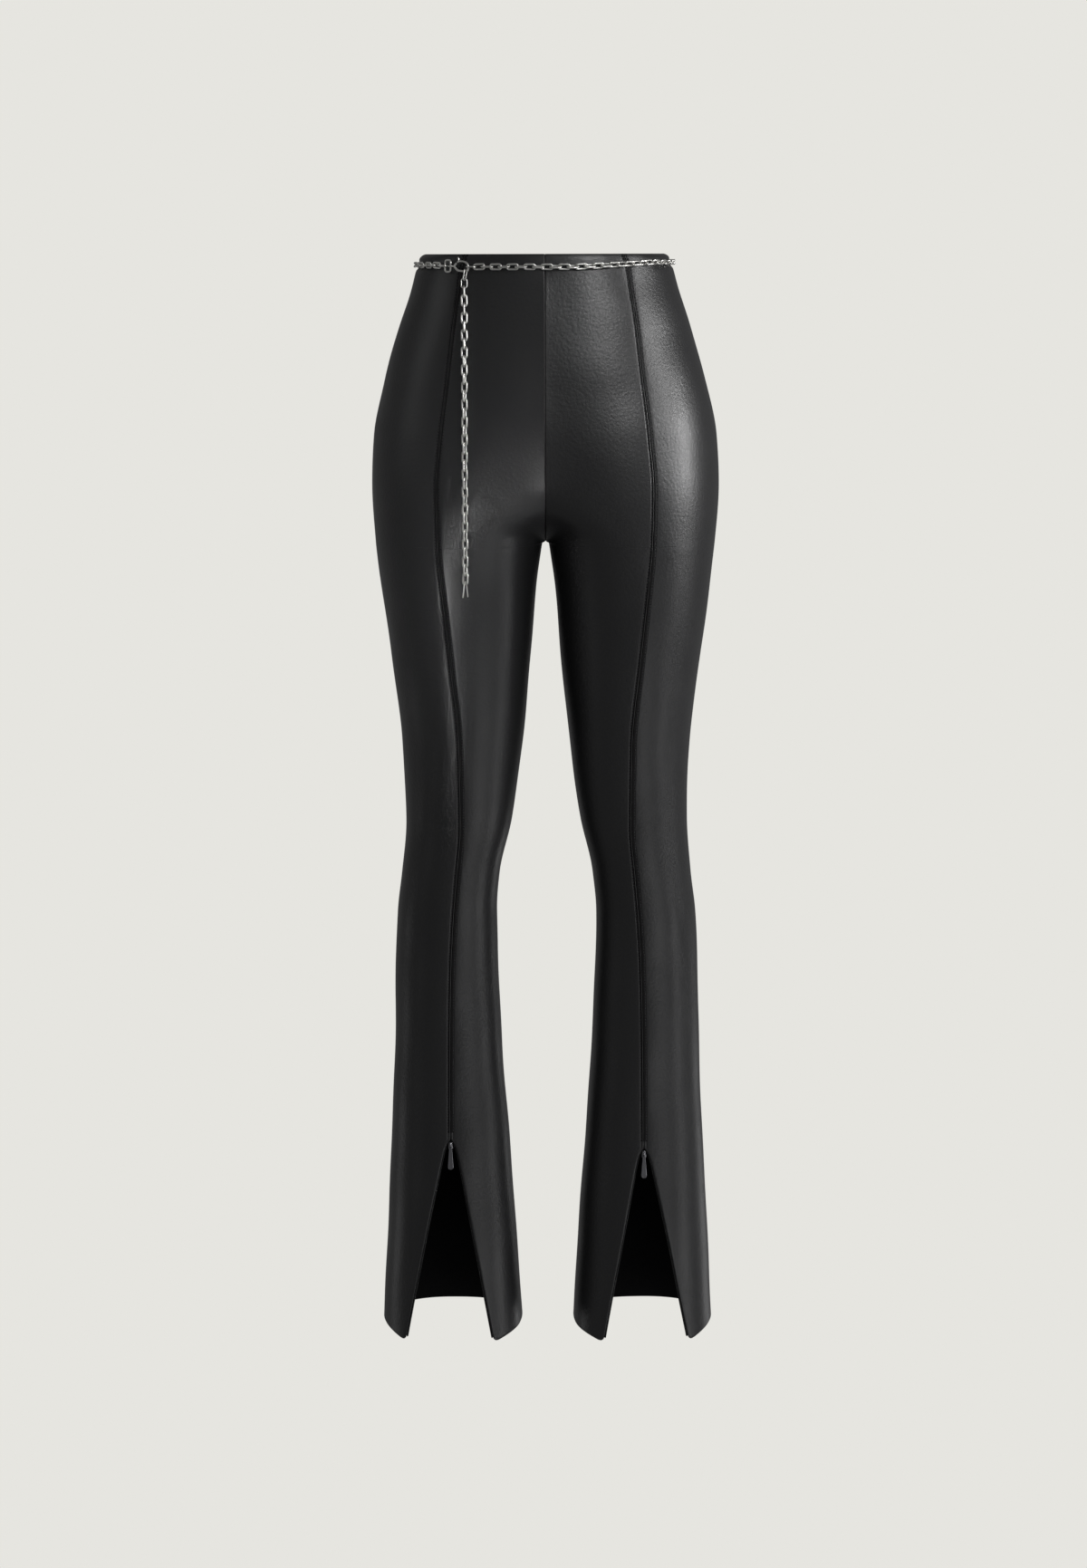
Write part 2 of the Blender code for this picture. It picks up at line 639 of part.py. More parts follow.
def build_tail(clasp_place):
    """The first link swings on the clasp; the others hang from it in one stretch."""
    hook = clasp_place @ Vector((TAIL_HOOK_X, 0, TAIL_HOOK_Z))
    beside = (clasp_place.to_3x3() @ Vector((1, 0, 0))).normalized()
    outward = beside.cross(Vector((0, 0, 1))).normalized()

    def hanging(point, across, lean):
        """X down the chain, Z along the given direction."""
        across = (across - lean * across.dot(lean)).normalized()
        turned = Matrix((lean, across.cross(lean), across)).transposed().to_4x4()
        return Matrix.Translation(point) @ turned

    lean = (outward * math.sin(TOP_LINK_LEAN) - Vector((0, 0, math.cos(TOP_LINK_LEAN))))
    drop = TOP_LINK_LENGTH / 2 - TOP_LINK_WIRE - CLAW_RADIUS - HOOK_SLACK
    top = mesh_of_links("tail_top_link", [hanging(hook + lean * drop, outward, lean)],
                        length=TOP_LINK_LENGTH, width=TOP_LINK_WIDTH, wire=TOP_LINK_WIRE,
                        shoulder=TOP_LINK_SHOULDER)
    hang_from(add_object("tail_top_link", top, chain_steel), hook)
    pivot = hook + lean * (drop + TOP_LINK_LENGTH / 2 - TOP_LINK_WIRE / 2)

    start = pivot.z + TOP_LINK_WIRE / 2 + TAIL_RING_SLACK + TAIL_RING_WIRE
    line = []
    furthest = pivot.y
    for height in start - TAIL_STEP * np.arange(TAIL_STEPS):
        furthest = min(furthest, front_surface(pivot.x, height) - TAIL_LIFT)
        line.append((pivot.x, furthest, height))
    line = np.array(line)
    lengths = np.concatenate(([0.0], np.cumsum(np.linalg.norm(np.diff(line, axis=0), axis=1))))

    def spot(where):
        return Vector([np.interp(where, lengths, line[:, axis]) for axis in range(3)])

    places = []
    middle = TAIL_RING_LENGTH / 2
    for index in range(TAIL_LINKS):
        lean = (spot(middle + LINK_GRIP) - spot(middle - LINK_GRIP)).normalized()
        twist = TAIL_TWIST * ease(index / TAIL_LINKS * 2) + 90 * (index % 2)
        across = Matrix.Rotation(math.radians(-twist), 3, "Z") @ Vector((1, 0, 0))
        places.append(hanging(spot(middle), across, lean))
        middle += LINK_PITCH
    ring = mesh_of_links("tail_ring", places[:1], length=TAIL_RING_LENGTH,
                         width=TAIL_RING_WIDTH, wire=TAIL_RING_WIRE, shoulder=TAIL_RING_SHOULDER)
    chain = add_object("tail_chain", chain_of("tail_chain", places[1:], ring), chain_steel)
    hang_from(chain, pivot)

    apex = LINK_LENGTH / 2 - LINK_WIRE - HAIRPIN_RADIUS - HAIRPIN_SLACK
    pin = [(apex + along, spread, 0) for along, spread in HAIRPIN]
    fork = add_object("tail_end", tube_mesh("tail_end", pin, HAIRPIN_RADIUS, places[-1]),
                      chain_steel)
    hang_from(fork, pivot)


# --- sliders and pull tabs ---------------------------------------------------------------------
def block_mesh(name, outline, low_y, high_y, place):
    """Flat shape in X and Z between two planes in Y."""
    vertices = [place @ Vector((x, y, z)) for y in (low_y, high_y) for x, z in outline]
    count = len(outline)
    faces = [tuple(range(count)), tuple(range(2 * count - 1, count - 1, -1))]
    for index in range(count):
        after = (index + 1) % count
        faces.append((index, index + count, after + count, after))
    return mesh_of(name, vertices, faces)


def pull_outline():
    """Teardrop that hangs from the origin."""
    turns = np.radians(np.linspace(-180, 0, PULL_STEPS))
    centre = -(PULL_LENGTH - PULL_HALF)
    bottom = [(PULL_HALF * math.cos(turn), centre + PULL_HALF * math.sin(turn)) for turn in turns]
    return [(-PULL_TOP_HALF, PULL_ABOVE), *bottom, (PULL_TOP_HALF, PULL_ABOVE)]


def build_slider(leg):
    height = SLIT_TOP[leg] - SLIDER_TOP
    x = smooth(height, "princess")
    face = on_side(Vector((x, front_surface(x, height), height)), leg)
    body = [(-SLIDER_HALF_TOP, 0), (-SLIDER_HALF, -SLIDER_HEIGHT),
            (SLIDER_HALF, -SLIDER_HEIGHT), (SLIDER_HALF_TOP, 0)]
    add_object(f"zip_slider_{leg}", block_mesh("slider", body, -SLIDER_PROUD, SLIDER_DEPTH,
                                               Matrix.Translation(face)), zip_metal)
    hinge = face + Vector((0, -SLIDER_PROUD - PULL_GAP - PULL_THICK / 2, -PULL_HINGE))
    tab = block_mesh("pull", pull_outline(), -PULL_THICK / 2, PULL_THICK / 2,
                     Matrix.Translation(hinge))
    hang_from(add_object(f"zip_pull_{leg}", tab, zip_metal), hinge)


leather = material("black_leather", (0.020, 0.019, 0.020), 0.42, 0.0)
zip_tape = material("black_zip_tape", (0.012, 0.012, 0.013), 0.75, 0.0)
zip_metal = material("black_zip_metal", (0.030, 0.030, 0.032), 0.30, 0.6)
chain_steel = material("silver_steel", (0.72, 0.72, 0.70), 0.22, 1.0)

for leg in ("L", "R"):
    for piece in ("front_inner", "front_outer", "back"):
        build_panel(piece, leg)
    build_tape("inner", leg)
    build_tape("outer", leg)
    build_slider(leg)
BELT = belt_path()
build_tail(build_belt())
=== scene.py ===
"""High-waisted flared leather trousers with a chain belt.

Metres, +Z up, the front faces -Y and the wearer's left leg is at +X.
The origin is the middle of the waist, level with the chain belt.
"""
import math
from collections import namedtuple
from functools import lru_cache

import bmesh
import bpy
import numpy as np
from mathutils import Matrix, Vector


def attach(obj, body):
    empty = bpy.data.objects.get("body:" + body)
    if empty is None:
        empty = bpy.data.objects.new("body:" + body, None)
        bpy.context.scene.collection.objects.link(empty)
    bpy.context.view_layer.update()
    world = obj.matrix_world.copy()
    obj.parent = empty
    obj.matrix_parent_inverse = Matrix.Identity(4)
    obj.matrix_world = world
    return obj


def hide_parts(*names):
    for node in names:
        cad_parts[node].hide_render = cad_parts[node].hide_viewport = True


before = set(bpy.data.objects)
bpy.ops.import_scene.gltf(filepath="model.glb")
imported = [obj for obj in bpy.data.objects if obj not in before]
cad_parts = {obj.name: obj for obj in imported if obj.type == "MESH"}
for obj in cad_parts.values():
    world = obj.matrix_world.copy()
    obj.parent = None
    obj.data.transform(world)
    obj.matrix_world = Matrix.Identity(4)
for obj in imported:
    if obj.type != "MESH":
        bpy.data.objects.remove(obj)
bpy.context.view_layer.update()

# --- the camera --------------------------------------------------------------------------------
# A long lens at the height of the waist, a little tipped down, as for a shop's front view. It is
# a hair out of level and off the middle.
QUARTER_TURN = math.radians(90)
CAMERA_DISTANCE = 3.5
CAMERA_HEIGHT = 0.015
CAMERA_TILT = math.radians(8.3)
CAMERA_ROLL = math.radians(-0.16)
CAMERA_LENS = 83.47           # millimetres, as is the side of the film
CAMERA_FILM = 36
CAMERA_SHIFT = -0.00173       # share of the frame's longer side
CAMERA_SIGHT = 30             # how far it sees, past the whole of the backdrop

camera_data = bpy.data.cameras.new("front_camera")
camera_data.sensor_width = CAMERA_FILM
camera_data.lens = CAMERA_LENS
camera_data.shift_x = CAMERA_SHIFT
camera_data.clip_end = CAMERA_SIGHT
camera = bpy.data.objects.new("front_camera", camera_data)
bpy.context.scene.collection.objects.link(camera)
camera.matrix_world = (Matrix.Translation((0, -CAMERA_DISTANCE, CAMERA_HEIGHT))
                       @ Matrix.Rotation(QUARTER_TURN - CAMERA_TILT, 4, "X")
                       @ Matrix.Rotation(CAMERA_ROLL, 4, "Z"))
bpy.context.scene.camera = camera

# --- the cut of the cloth ----------------------------------------------------------------------
# Coated stretch leather, cut in six panels and sewn to stand like a filled-out leg.
# Each height has one outline, from the front seam over the side to the back seam.
WALL = 0.0015
SEAM_GAP = 0.00004
TOP = 0.0148
TOP_ROLL = 0.006              # the turned top edge's rounding at the sides
TOP_FRONT = 0.2               # share of it at the front and back
TOP_SIDE = 0.085              # from here it grows to its full size at the sides
TOP_SIDE_FADE = 0.030
SEAT_TOP = -0.165
SEAT_HOLLOW = 0.008           # how far the seat's centre seam is drawn in
CROTCH = -0.258
CROTCH_END = -0.300
UNDER_RATE = 3                # how soon below the seat's top the inner thigh is fully round
WEB = 12                      # how narrow the cloth is that joins the legs: more is narrower
WEB_FADE = 0.035              # the height over which it widens into the front and the seat
ARCH = 0.0032                 # radius of the rounded top of the gap between the legs
ARCH_FALL = 12                # how soon it fades out over the thigh
HEM = -1.029
HEM_TIP_DROP = 0.0110         # how much lower the hem hangs beside the slit
HEM_TIP_REACH = 0.060
HEM_TIP_ROUND = 0.0055        # radius of the hem's corners at the slit
SQUARENESS = 0.92             # of the outer thigh, and the next of the inner: 1 is an ellipse
FULLNESS = 0.86
FRONT_TURN = 3.2              # how late the front turns under at the crotch: 2 is an ellipse
SEAT_TURN = 2.0
SLIT_TOP = {"R": -0.837, "L": -0.846}
SLIT_SLOPE = 0.208            # how fast each edge parts, after a rounded start
SLIT_ROUND = 0.0039
SLIT_ROUND_FALL = 0.005
RING_STEPS = 160

# Each ring has its height and how far it reaches from the middle: to the side, to the inner leg,
# to the front and to the back. The next two say how far out the front and the back are fullest,
# and the last is the princess seam's place.
Ring = namedtuple("Ring", "height side inner front back front_x back_x princess")
RINGS = (
    Ring(+0.0148, 0.1184, 0.0000, 0.0925, 0.0920, 0.0000, 0.0000, 0.0737),
    Ring(+0.0000, 0.1225, 0.0000, 0.0940, 0.0940, 0.0000, 0.0000, 0.0782),
    Ring(-0.0200, 0.1277, 0.0000, 0.0965, 0.0970, 0.0000, 0.0080, 0.0808),
    Ring(-0.0530, 0.1388, 0.0000, 0.1005, 0.1040, 0.0000, 0.0300, 0.0855),
    Ring(-0.1050, 0.1538, 0.0000, 0.1060, 0.1160, 0.0080, 0.0560, 0.0918),
    Ring(-0.1570, 0.1644, 0.0000, 0.1085, 0.1270, 0.0240, 0.0720, 0.0975),
    Ring(-0.2050, 0.1672, 0.0000, 0.1065, 0.1270, 0.0500, 0.0780, 0.1014),
    Ring(-0.2580, 0.1632, 0.0000, 0.1003, 0.1115, 0.0740, 0.0805, 0.1003),
    Ring(-0.2660, 0.1624, 0.0010, 0.0992, 0.1087, 0.0765, 0.0808, 0.0999),
    Ring(-0.3000, 0.1585, 0.0053, 0.0948, 0.0980, 0.0815, 0.0820, 0.0967),
    Ring(-0.3670, 0.1491, 0.0112, 0.0880, 0.0840, 0.0819, 0.0819, 0.0898),
    Ring(-0.4500, 0.1393, 0.0194, 0.0770, 0.0690, 0.0810, 0.0810, 0.0822),
    Ring(-0.5260, 0.1363, 0.0300, 0.0670, 0.0550, 0.0848, 0.0848, 0.0816),
    Ring(-0.5800, 0.1404, 0.0419, 0.0600, 0.0525, 0.0928, 0.0928, 0.0860),
    Ring(-0.6200, 0.1452, 0.0453, 0.0545, 0.0550, 0.0969, 0.0969, 0.0893),
    Ring(-0.6700, 0.1478, 0.0444, 0.0505, 0.0580, 0.0977, 0.0977, 0.0920),
    Ring(-0.7520, 0.1494, 0.0408, 0.0490, 0.0590, 0.0967, 0.0967, 0.0935),
    Ring(-0.8430, 0.1533, 0.0344, 0.0520, 0.0600, 0.0955, 0.0955, 0.0940),
    Ring(-0.9350, 0.1579, 0.0278, 0.0585, 0.0635, 0.0945, 0.0945, 0.0955),
    Ring(-1.0290, 0.1625, 0.0220, 0.0650, 0.0670, 0.0939, 0.0939, 0.0963),
)


def smooth(height, column):
    """One column of RINGS at any height, on a smooth curve through its rows."""
    heights = [-ring.height for ring in RINGS]
    values = [getattr(ring, column) for ring in RINGS]
    where = min(max(-height, heights[0]), heights[-1])
    low = min(max(int(np.searchsorted(heights, where)) - 1, 0), len(heights) - 2)
    step = heights[low + 1] - heights[low]

    def slope(index):
        if index in (0, len(heights) - 1):
            near = min(max(index, 1), len(heights) - 1)
            return (values[near] - values[near - 1]) / (heights[near] - heights[near - 1])
        before = (values[index] - values[index - 1]) / (heights[index] - heights[index - 1])
        after = (values[index + 1] - values[index]) / (heights[index + 1] - heights[index])
        return 2 * before * after / (before + after) if before * after > 0 else 0.0

    t = (where - heights[low]) / step
    return (values[low] * (1 + 2 * t) * (1 - t) ** 2
            + slope(low) * step * t * (1 - t) ** 2
            + values[low + 1] * t * t * (3 - 2 * t)
            + slope(low + 1) * step * t * t * (t - 1))


def ease(value):
    """Share from 0 to 1 that starts and ends gently."""
    value = np.clip(value, 0.0, 1.0)
    return value * value * (3 - 2 * value)


def lengths_along(points):
    """Length along a line of points to each of them."""
    steps = np.linalg.norm(np.diff(points, axis=0), axis=1)
    return np.concatenate(([0.0], np.cumsum(steps)))


def arch_reach(height):
    """How far the rounded top of the gap stands off the middle."""
    return math.sqrt(ARCH ** 2 - (ARCH - min(max(CROTCH - height, 0.0), ARCH)) ** 2)


def seam_point(height, front):
    """Centre seam above the crotch, inner-leg seam below it."""
    middle = (smooth(height, "back") - smooth(height, "front")) / 2
    if height <= CROTCH:
        return smooth(height, "inner") + SEAM_GAP, middle
    if height >= SEAT_TOP:
        hollow = SEAT_HOLLOW * ease(height / SEAT_TOP)
        return SEAM_GAP, -smooth(height, "front") if front else smooth(height, "back") - hollow
    start = -smooth(SEAT_TOP, "front") if front else smooth(SEAT_TOP, "back") - SEAT_HOLLOW
    middle = (smooth(CROTCH, "back") - smooth(CROTCH, "front")) / 2
    down = (SEAT_TOP - height) / (SEAT_TOP - CROTCH)
    down = down ** (FRONT_TURN if front else SEAT_TURN)
    return SEAM_GAP, middle + (start - middle) * math.sqrt(max(1 - down, 0.0))


@lru_cache(maxsize=None)
def section(height):
    """Outline at a height: its points, the length along it to each, and that to the side seam."""
    side, front, back, front_x, back_x = (
        smooth(height, column) for column in ("side", "front", "back", "front_x", "back_x"))
    middle = (back - front) / 2
    under = ease(UNDER_RATE * (SEAT_TOP - height) / (SEAT_TOP - CROTCH))
    share = np.linspace(0, 1, RING_STEPS)
    sine = np.sin(share * math.pi / 2)
    cosine = np.cos(share * math.pi / 2)

    def from_seam(seam, full):
        level = min(max((seam[1] - middle) / (full[1] - middle), 0.0), 0.999)
        first = math.asin(level ** (1 / FULLNESS))
        turns = first + (math.pi / 2 - first) * share
        across = 1 - (np.cos(turns) / math.cos(first)) ** FULLNESS
        flat_y = seam[1] + (full[1] - seam[1]) * (1 - np.cos(across * math.pi)) / 2
        leg_y = middle + (full[1] - middle) * np.sin(turns) ** FULLNESS
        leg_x = 1 - np.cos(turns) ** FULLNESS
        leg_x = leg_x - leg_x[0] * (1 - share) ** WEB
        drawn_x = leg_x + (across - leg_x) * ease((height - CROTCH) / WEB_FADE)
        return np.column_stack((seam[0] + (full[0] - seam[0]) * drawn_x
                                + arch_reach(height) * (1 - drawn_x) ** ARCH_FALL,
                                flat_y + (leg_y - flat_y) * under))

    front_full = (max(front_x, 2 * SEAM_GAP), -front)
    back_full = (max(back_x, 2 * SEAM_GAP), back)
    points = np.vstack((
        from_seam(seam_point(height, True), front_full),
        np.column_stack((front_full[0] + (side - front_full[0]) * sine ** SQUARENESS,
                         middle - (middle + front) * cosine ** SQUARENESS))[1:],
        np.column_stack((back_full[0] + (side - back_full[0]) * cosine ** SQUARENESS,
                         middle + (back - middle) * sine ** SQUARENESS))[1:],
        from_seam(seam_point(height, False), back_full)[::-1][1:]))
    inset = 0.0
    if height > TOP - TOP_ROLL:
        inset = TOP_ROLL - math.sqrt(max(TOP_ROLL ** 2 - (height - TOP + TOP_ROLL) ** 2, 0.0))
    sideways = ease((points[:, 0] - TOP_SIDE) / TOP_SIDE_FADE)
    inset = inset * (TOP_FRONT + (1 - TOP_FRONT) * sideways)
    points = points * (1 - inset / np.hypot(*points.T))[:, None]
    points[:, 0] = np.maximum(points[:, 0], SEAM_GAP)
    lengths = lengths_along(points)
    return points, lengths, lengths[2 * RING_STEPS - 2]


def edges(height, leg):
    """Lengths along the section to each panel's two edges."""
    points, lengths, side = section(height)
    front = slice(0, 2 * RING_STEPS - 1)
    princess = smooth(height, "princess")
    below = max(SLIT_TOP[leg] - height, 0.0)
    half = SLIT_SLOPE * below + SLIT_ROUND * (1 - math.exp(-below / SLIT_ROUND_FALL))
    near, far = np.interp((princess - half, princess + half), points[front, 0], lengths[front])
    return {"front_inner": (SEAM_GAP, near - SEAM_GAP),
            "front_outer": (far + SEAM_GAP, side - SEAM_GAP),
            "back": (side + SEAM_GAP, lengths[-1] - SEAM_GAP)}


def skin(height, along, leg):
    """Points of the cloth's outer face: the hem's tips hang lower beside the slit."""
    points, lengths, _ = section(height)
    x = np.interp(along, lengths, points[:, 0])
    y = np.interp(along, lengths, points[:, 1])
    down = max((SLIT_TOP[leg] - height) / (SLIT_TOP[leg] - HEM), 0.0)
    panel_edges = edges(height, leg)
    away = np.maximum(panel_edges["front_inner"][1] - along, along - panel_edges["front_outer"][0])
    away = np.clip(away / HEM_TIP_REACH, 0.0, 1.0)
    drop = HEM_TIP_DROP * down ** 2 * (1 - away) ** 2
    return np.column_stack((x, y, height - drop))


def outward(height, along, leg):
    """Directions square to the cloth's outer face."""
    step, hair = 0.0004, 0.00002
    total = section(height)[1][-1]
    over = (skin(height, np.minimum(along + step, total), leg)
            - skin(height, np.maximum(along - step, 0.0), leg))
    low, high = max(height - step, HEM), min(height + step, TOP - hair)
    down = (skin(low, along * section(low)[1][-1] / total, leg)
            - skin(high, along * section(high)[1][-1] / total, leg))
    normal = np.cross(down, over)
    return normal / np.linalg.norm(normal, axis=1)[:, None]


def cloth_y(x, height, face):
    """Depth of the cloth's front or back face at a place across it."""
    points, _, _ = section(height)
    turn = 2 * RING_STEPS - 2
    half = points[:turn + 1] if face == "front" else points[turn:][::-1]
    return float(np.interp(abs(x), half[:, 0], half[:, 1]))


# --- the leather -------------------------------------------------------------------------------
# Polyurethane-coated leather cloth: a soft black skin pressed with a fine grain, calendered to a
# low sheen, on a knitted backing. The grain breaks the highlights into small specks.
def colour(code):
    """sRGB hex code as a linear colour."""
    parts = [int(code[place:place + 2], 16) / 255 for place in (1, 3, 5)]
    return (*[part / 12.92 if part <= 0.04045 else ((part + 0.055) / 1.055) ** 2.4
              for part in parts], 1.0)


def add_node(tree, kind, inputs=None, **settings):
    """Node with its settings; an input takes a value or another node's output."""
    node = tree.nodes.new(kind)
    for name, value in settings.items():
        setattr(node, name, value)
    for socket, value in (inputs or {}).items():
        if isinstance(value, bpy.types.NodeSocket):
            tree.links.new(value, node.inputs[socket])
        else:
            node.inputs[socket].default_value = value
    return node


def new_material(name):
    """Empty material and its node tree."""
    made = bpy.data.materials.new(name)
    made.use_nodes = True
    made.node_tree.nodes.clear()
    return made, made.node_tree


def surfaced(material, inputs):
    """The material, with a shader of these inputs as its surface."""
    shader = add_node(material.node_tree, "ShaderNodeBsdfPrincipled", inputs)
    add_node(material.node_tree, "ShaderNodeOutputMaterial", {"Surface": shader.outputs["BSDF"]})
    return material


def per_metre(millimetres):
    """Scale of a pattern whose cells are this wide."""
    return 1000.0 / millimetres


def make_coated_leather():
    """Black skin with a pressed grain, a little glossier in some patches than in others."""
    made, tree = new_material("coated_black_leather")
    place = add_node(tree, "ShaderNodeTexCoord").outputs["Object"]
    # The real grain is about 0.6 mm wide. It is drawn coarser, with pores 1.1 mm wide and specks
    # 2.8 mm wide, so that it shows.
    cells = add_node(tree, "ShaderNodeTexVoronoi", {"Vector": place, "Scale": per_metre(1.1)},
                     feature="DISTANCE_TO_EDGE")
    cell_walls = add_node(tree, "ShaderNodeMapRange",
                          {"Value": cells.outputs["Distance"], "From Max": 0.35})
    specks = add_node(tree, "ShaderNodeTexNoise",
                      {"Vector": place, "Scale": per_metre(2.8), "Detail": 3.0})
    grain = add_node(tree, "ShaderNodeMix", {"Factor": 0.55, "A": cell_walls.outputs["Result"],
                                             "B": specks.outputs["Fac"]}, data_type="FLOAT")
    patches = add_node(tree, "ShaderNodeTexNoise",
                       {"Vector": place, "Scale": per_metre(55), "Detail": 2.0})
    gloss = add_node(tree, "ShaderNodeMapRange",
                     {"Value": patches.outputs["Fac"], "From Min": 0.3, "From Max": 0.7,
                      "To Min": 0.32, "To Max": 0.38})
    tone = add_node(tree, "ShaderNodeMix",
                    {"Factor": grain.outputs["Result"], "A": colour("#1f1f20"),
                     "B": colour("#272728")}, data_type="RGBA")
    pores = add_node(tree, "ShaderNodeBump", {"Height": grain.outputs["Result"],
                                              "Strength": 0.25, "Distance": 0.0002})
    bump = add_node(tree, "ShaderNodeBump", {"Height": specks.outputs["Fac"], "Strength": 1.0,
                                             "Distance": 0.0002,
                                             "Normal": pores.outputs["Normal"]})
    return surfaced(made, {"Base Color": tone.outputs["Result"], "IOR": 1.5,
                           "Roughness": gloss.outputs["Result"],
                           "Normal": bump.outputs["Normal"]})


def make_knit_backing():
    """Fine black jersey on the inside: rows of loops 0.9 mm apart, matt and slightly lumpy."""
    made, tree = new_material("black_knit_backing")
    place = add_node(tree, "ShaderNodeTexCoord").outputs["Object"]
    loops = add_node(tree, "ShaderNodeTexVoronoi", {"Vector": place, "Scale": per_metre(0.9)})
    bump = add_node(tree, "ShaderNodeBump", {"Height": loops.outputs["Distance"],
                                             "Strength": 0.5, "Distance": 0.0003})
    return surfaced(made, {"Base Color": colour("#0c0c0d"), "Roughness": 0.9,
                           "Specular IOR Level": 0.2, "Normal": bump.outputs["Normal"]})


coated_leather = make_coated_leather()
knit_backing = make_knit_backing()

# The same cloth along a stitched seam, painted darker and with less shine as painted shade, which
# stands in for the shade in the seam's grooves and stitch rows.
seam_shade_leather = surfaced(new_material("pressed_black_leather")[0],
                           {"Base Color": colour("#0c0c0d"), "Roughness": 0.46,
                            "Specular IOR Level": 0.15, "IOR": 1.5})

# --- the panels --------------------------------------------------------------------------------
# Each leg has two front panels and a back one. Their edges are turned in and sewn to each other.
# A plain seam shows as a narrow groove, and the princess seam's allowances lie under two rows
# of stitching, so its band stands slightly proud. Below it the slit's edges are folded back.
# Every line of points beside an edge has its distance from the edge and its depth, in
# millimetres, on the outside and on the inside.
Line = namedtuple("Line", "out out_depth inside inside_depth")
PLAIN_SEAM = (
    Line(-0.25, 3.00, 1.3, 3.0), Line(-0.20, 1.70, 1.3, 1.9), Line(0.00, 0.75, 1.35, 1.6),
    Line(0.10, 0.34, 1.5, 1.5), Line(0.28, 0.13, 1.7, 1.5), Line(0.60, 0.03, 2.0, 1.5),
    Line(1.10, 0.00, 2.4, 1.5), Line(1.80, 0.00, 2.7, 1.5), Line(2.50, 0.00, 3.0, 1.5),
    Line(3.10, 0.00, 3.4, 1.5), Line(4.50, 0.00, 4.6, 1.5), Line(7.50, 0.00, 7.5, 1.5))
STITCHED_SEAM = (
    Line(-0.25, 3.00, 1.3, 3.0), Line(-0.20, 1.60, 1.3, 1.9), Line(0.00, 0.70, 1.35, 1.6),
    Line(0.16, 0.40, 1.5, 1.5), Line(0.40, 0.10, 1.7, 1.5), Line(0.80, -0.08, 2.0, 1.5),
    Line(1.40, -0.10, 2.4, 1.5), Line(1.95, 0.10, 2.7, 1.5), Line(2.50, 0.85, 3.0, 2.35),
    Line(3.05, 0.12, 3.4, 1.5), Line(4.00, 0.00, 4.1, 1.5), Line(7.50, 0.00, 7.5, 1.5))
SLIT_EDGE = (
    Line(2.20, 1.72, 2.4, 1.7), Line(1.00, 1.72, 2.2, 1.7), Line(0.25, 1.55, 1.9, 1.6),
    Line(0.00, 1.20, 1.8, 1.5), Line(0.04, 0.80, 1.9, 1.5), Line(0.28, 0.46, 2.1, 1.5),
    Line(0.70, 0.25, 2.4, 1.5), Line(1.30, 0.10, 2.7, 1.5), Line(2.00, 0.03, 3.0, 1.5),
    Line(2.80, 0.00, 3.3, 1.5), Line(4.20, 0.00, 4.4, 1.5), Line(7.50, 0.00, 7.5, 1.5))
# Steps across a stitched seam that get the darker leather painted as the seam's shade.
SEAM_SHADE_STEPS = [0, 1, 2, 3, 5, 6, 7, 8]     # steps between a stitched seam's lines that look dull
MARGIN = 0.0075               # from an edge to its last line
COLUMN_WIDTH = 0.0048
SLIT_OPENING = 0.012          # the stitched seam turns into the slit's folded edges over this
SLIT_ROUNDED = 0.020          # from the slit's top to where its edges run straight
HEM_TURN = 0.0008             # how far the hem's edge is rounded in, and how fast it fades
HEM_TURN_SLOPE = 0.5
LAP = 0.00006                 # past the middle, where the legs' edges meet at the centre seam

# A seam's turned-in cloth lifts the panels to either side of it. The centre seam's ridge runs from
# below the waist to the crotch. The princess seams' ridges come and go by the share that is
# listed here, from a height and over a stretch below it.
RIDGE = 0.0016
RIDGE_REACH = 0.013
RIDGE_TOP = 0.002
RIDGE_TOP_FADE = 0.02
RIDGE_END = -0.245
RIDGE_END_FADE = 0.06
PRINCESS_RIDGE = 0.0020
PRINCESS_REACH = 0.020
Rise = namedtuple("Rise", "share height stretch")
PRINCESS_RISES = {
    "L": (Rise(0.5, -0.006, 0.03), Rise(0.5, -0.100, 0.08), Rise(-0.6, -0.790, 0.04)),
    "R": (Rise(1.0, -0.085, 0.08), Rise(-0.55, -0.270, 0.07), Rise(-0.27, -0.790, 0.04)),
}

# The cloth is nowhere quite flat, and the belt sinks into it a little at the sides.
UNEVEN = 0.00022
UNEVEN_TOP = 0.012
UNEVEN_FADE = 0.05
BELT_DENT = 0.0016
BELT_DENT_HALF = 0.0044
BELT_LOW = 0.0026             # the chain's height at the middle of the front
BELT_RISE_LEFT = 0.0040       # how much higher it stands at the wearer's left, and from where
BELT_RISE_LEFT_START = 0.02
BELT_RISE_LEFT_FADE = 0.10
BELT_RISE_RIGHT = 0.0019
BELT_RISE_RIGHT_START = 0.07
BELT_RISE_RIGHT_FADE = 0.05
SIDE_START = 0.098            # where the cloth at the waist starts to turn to the side
SIDE_FADE = 0.014

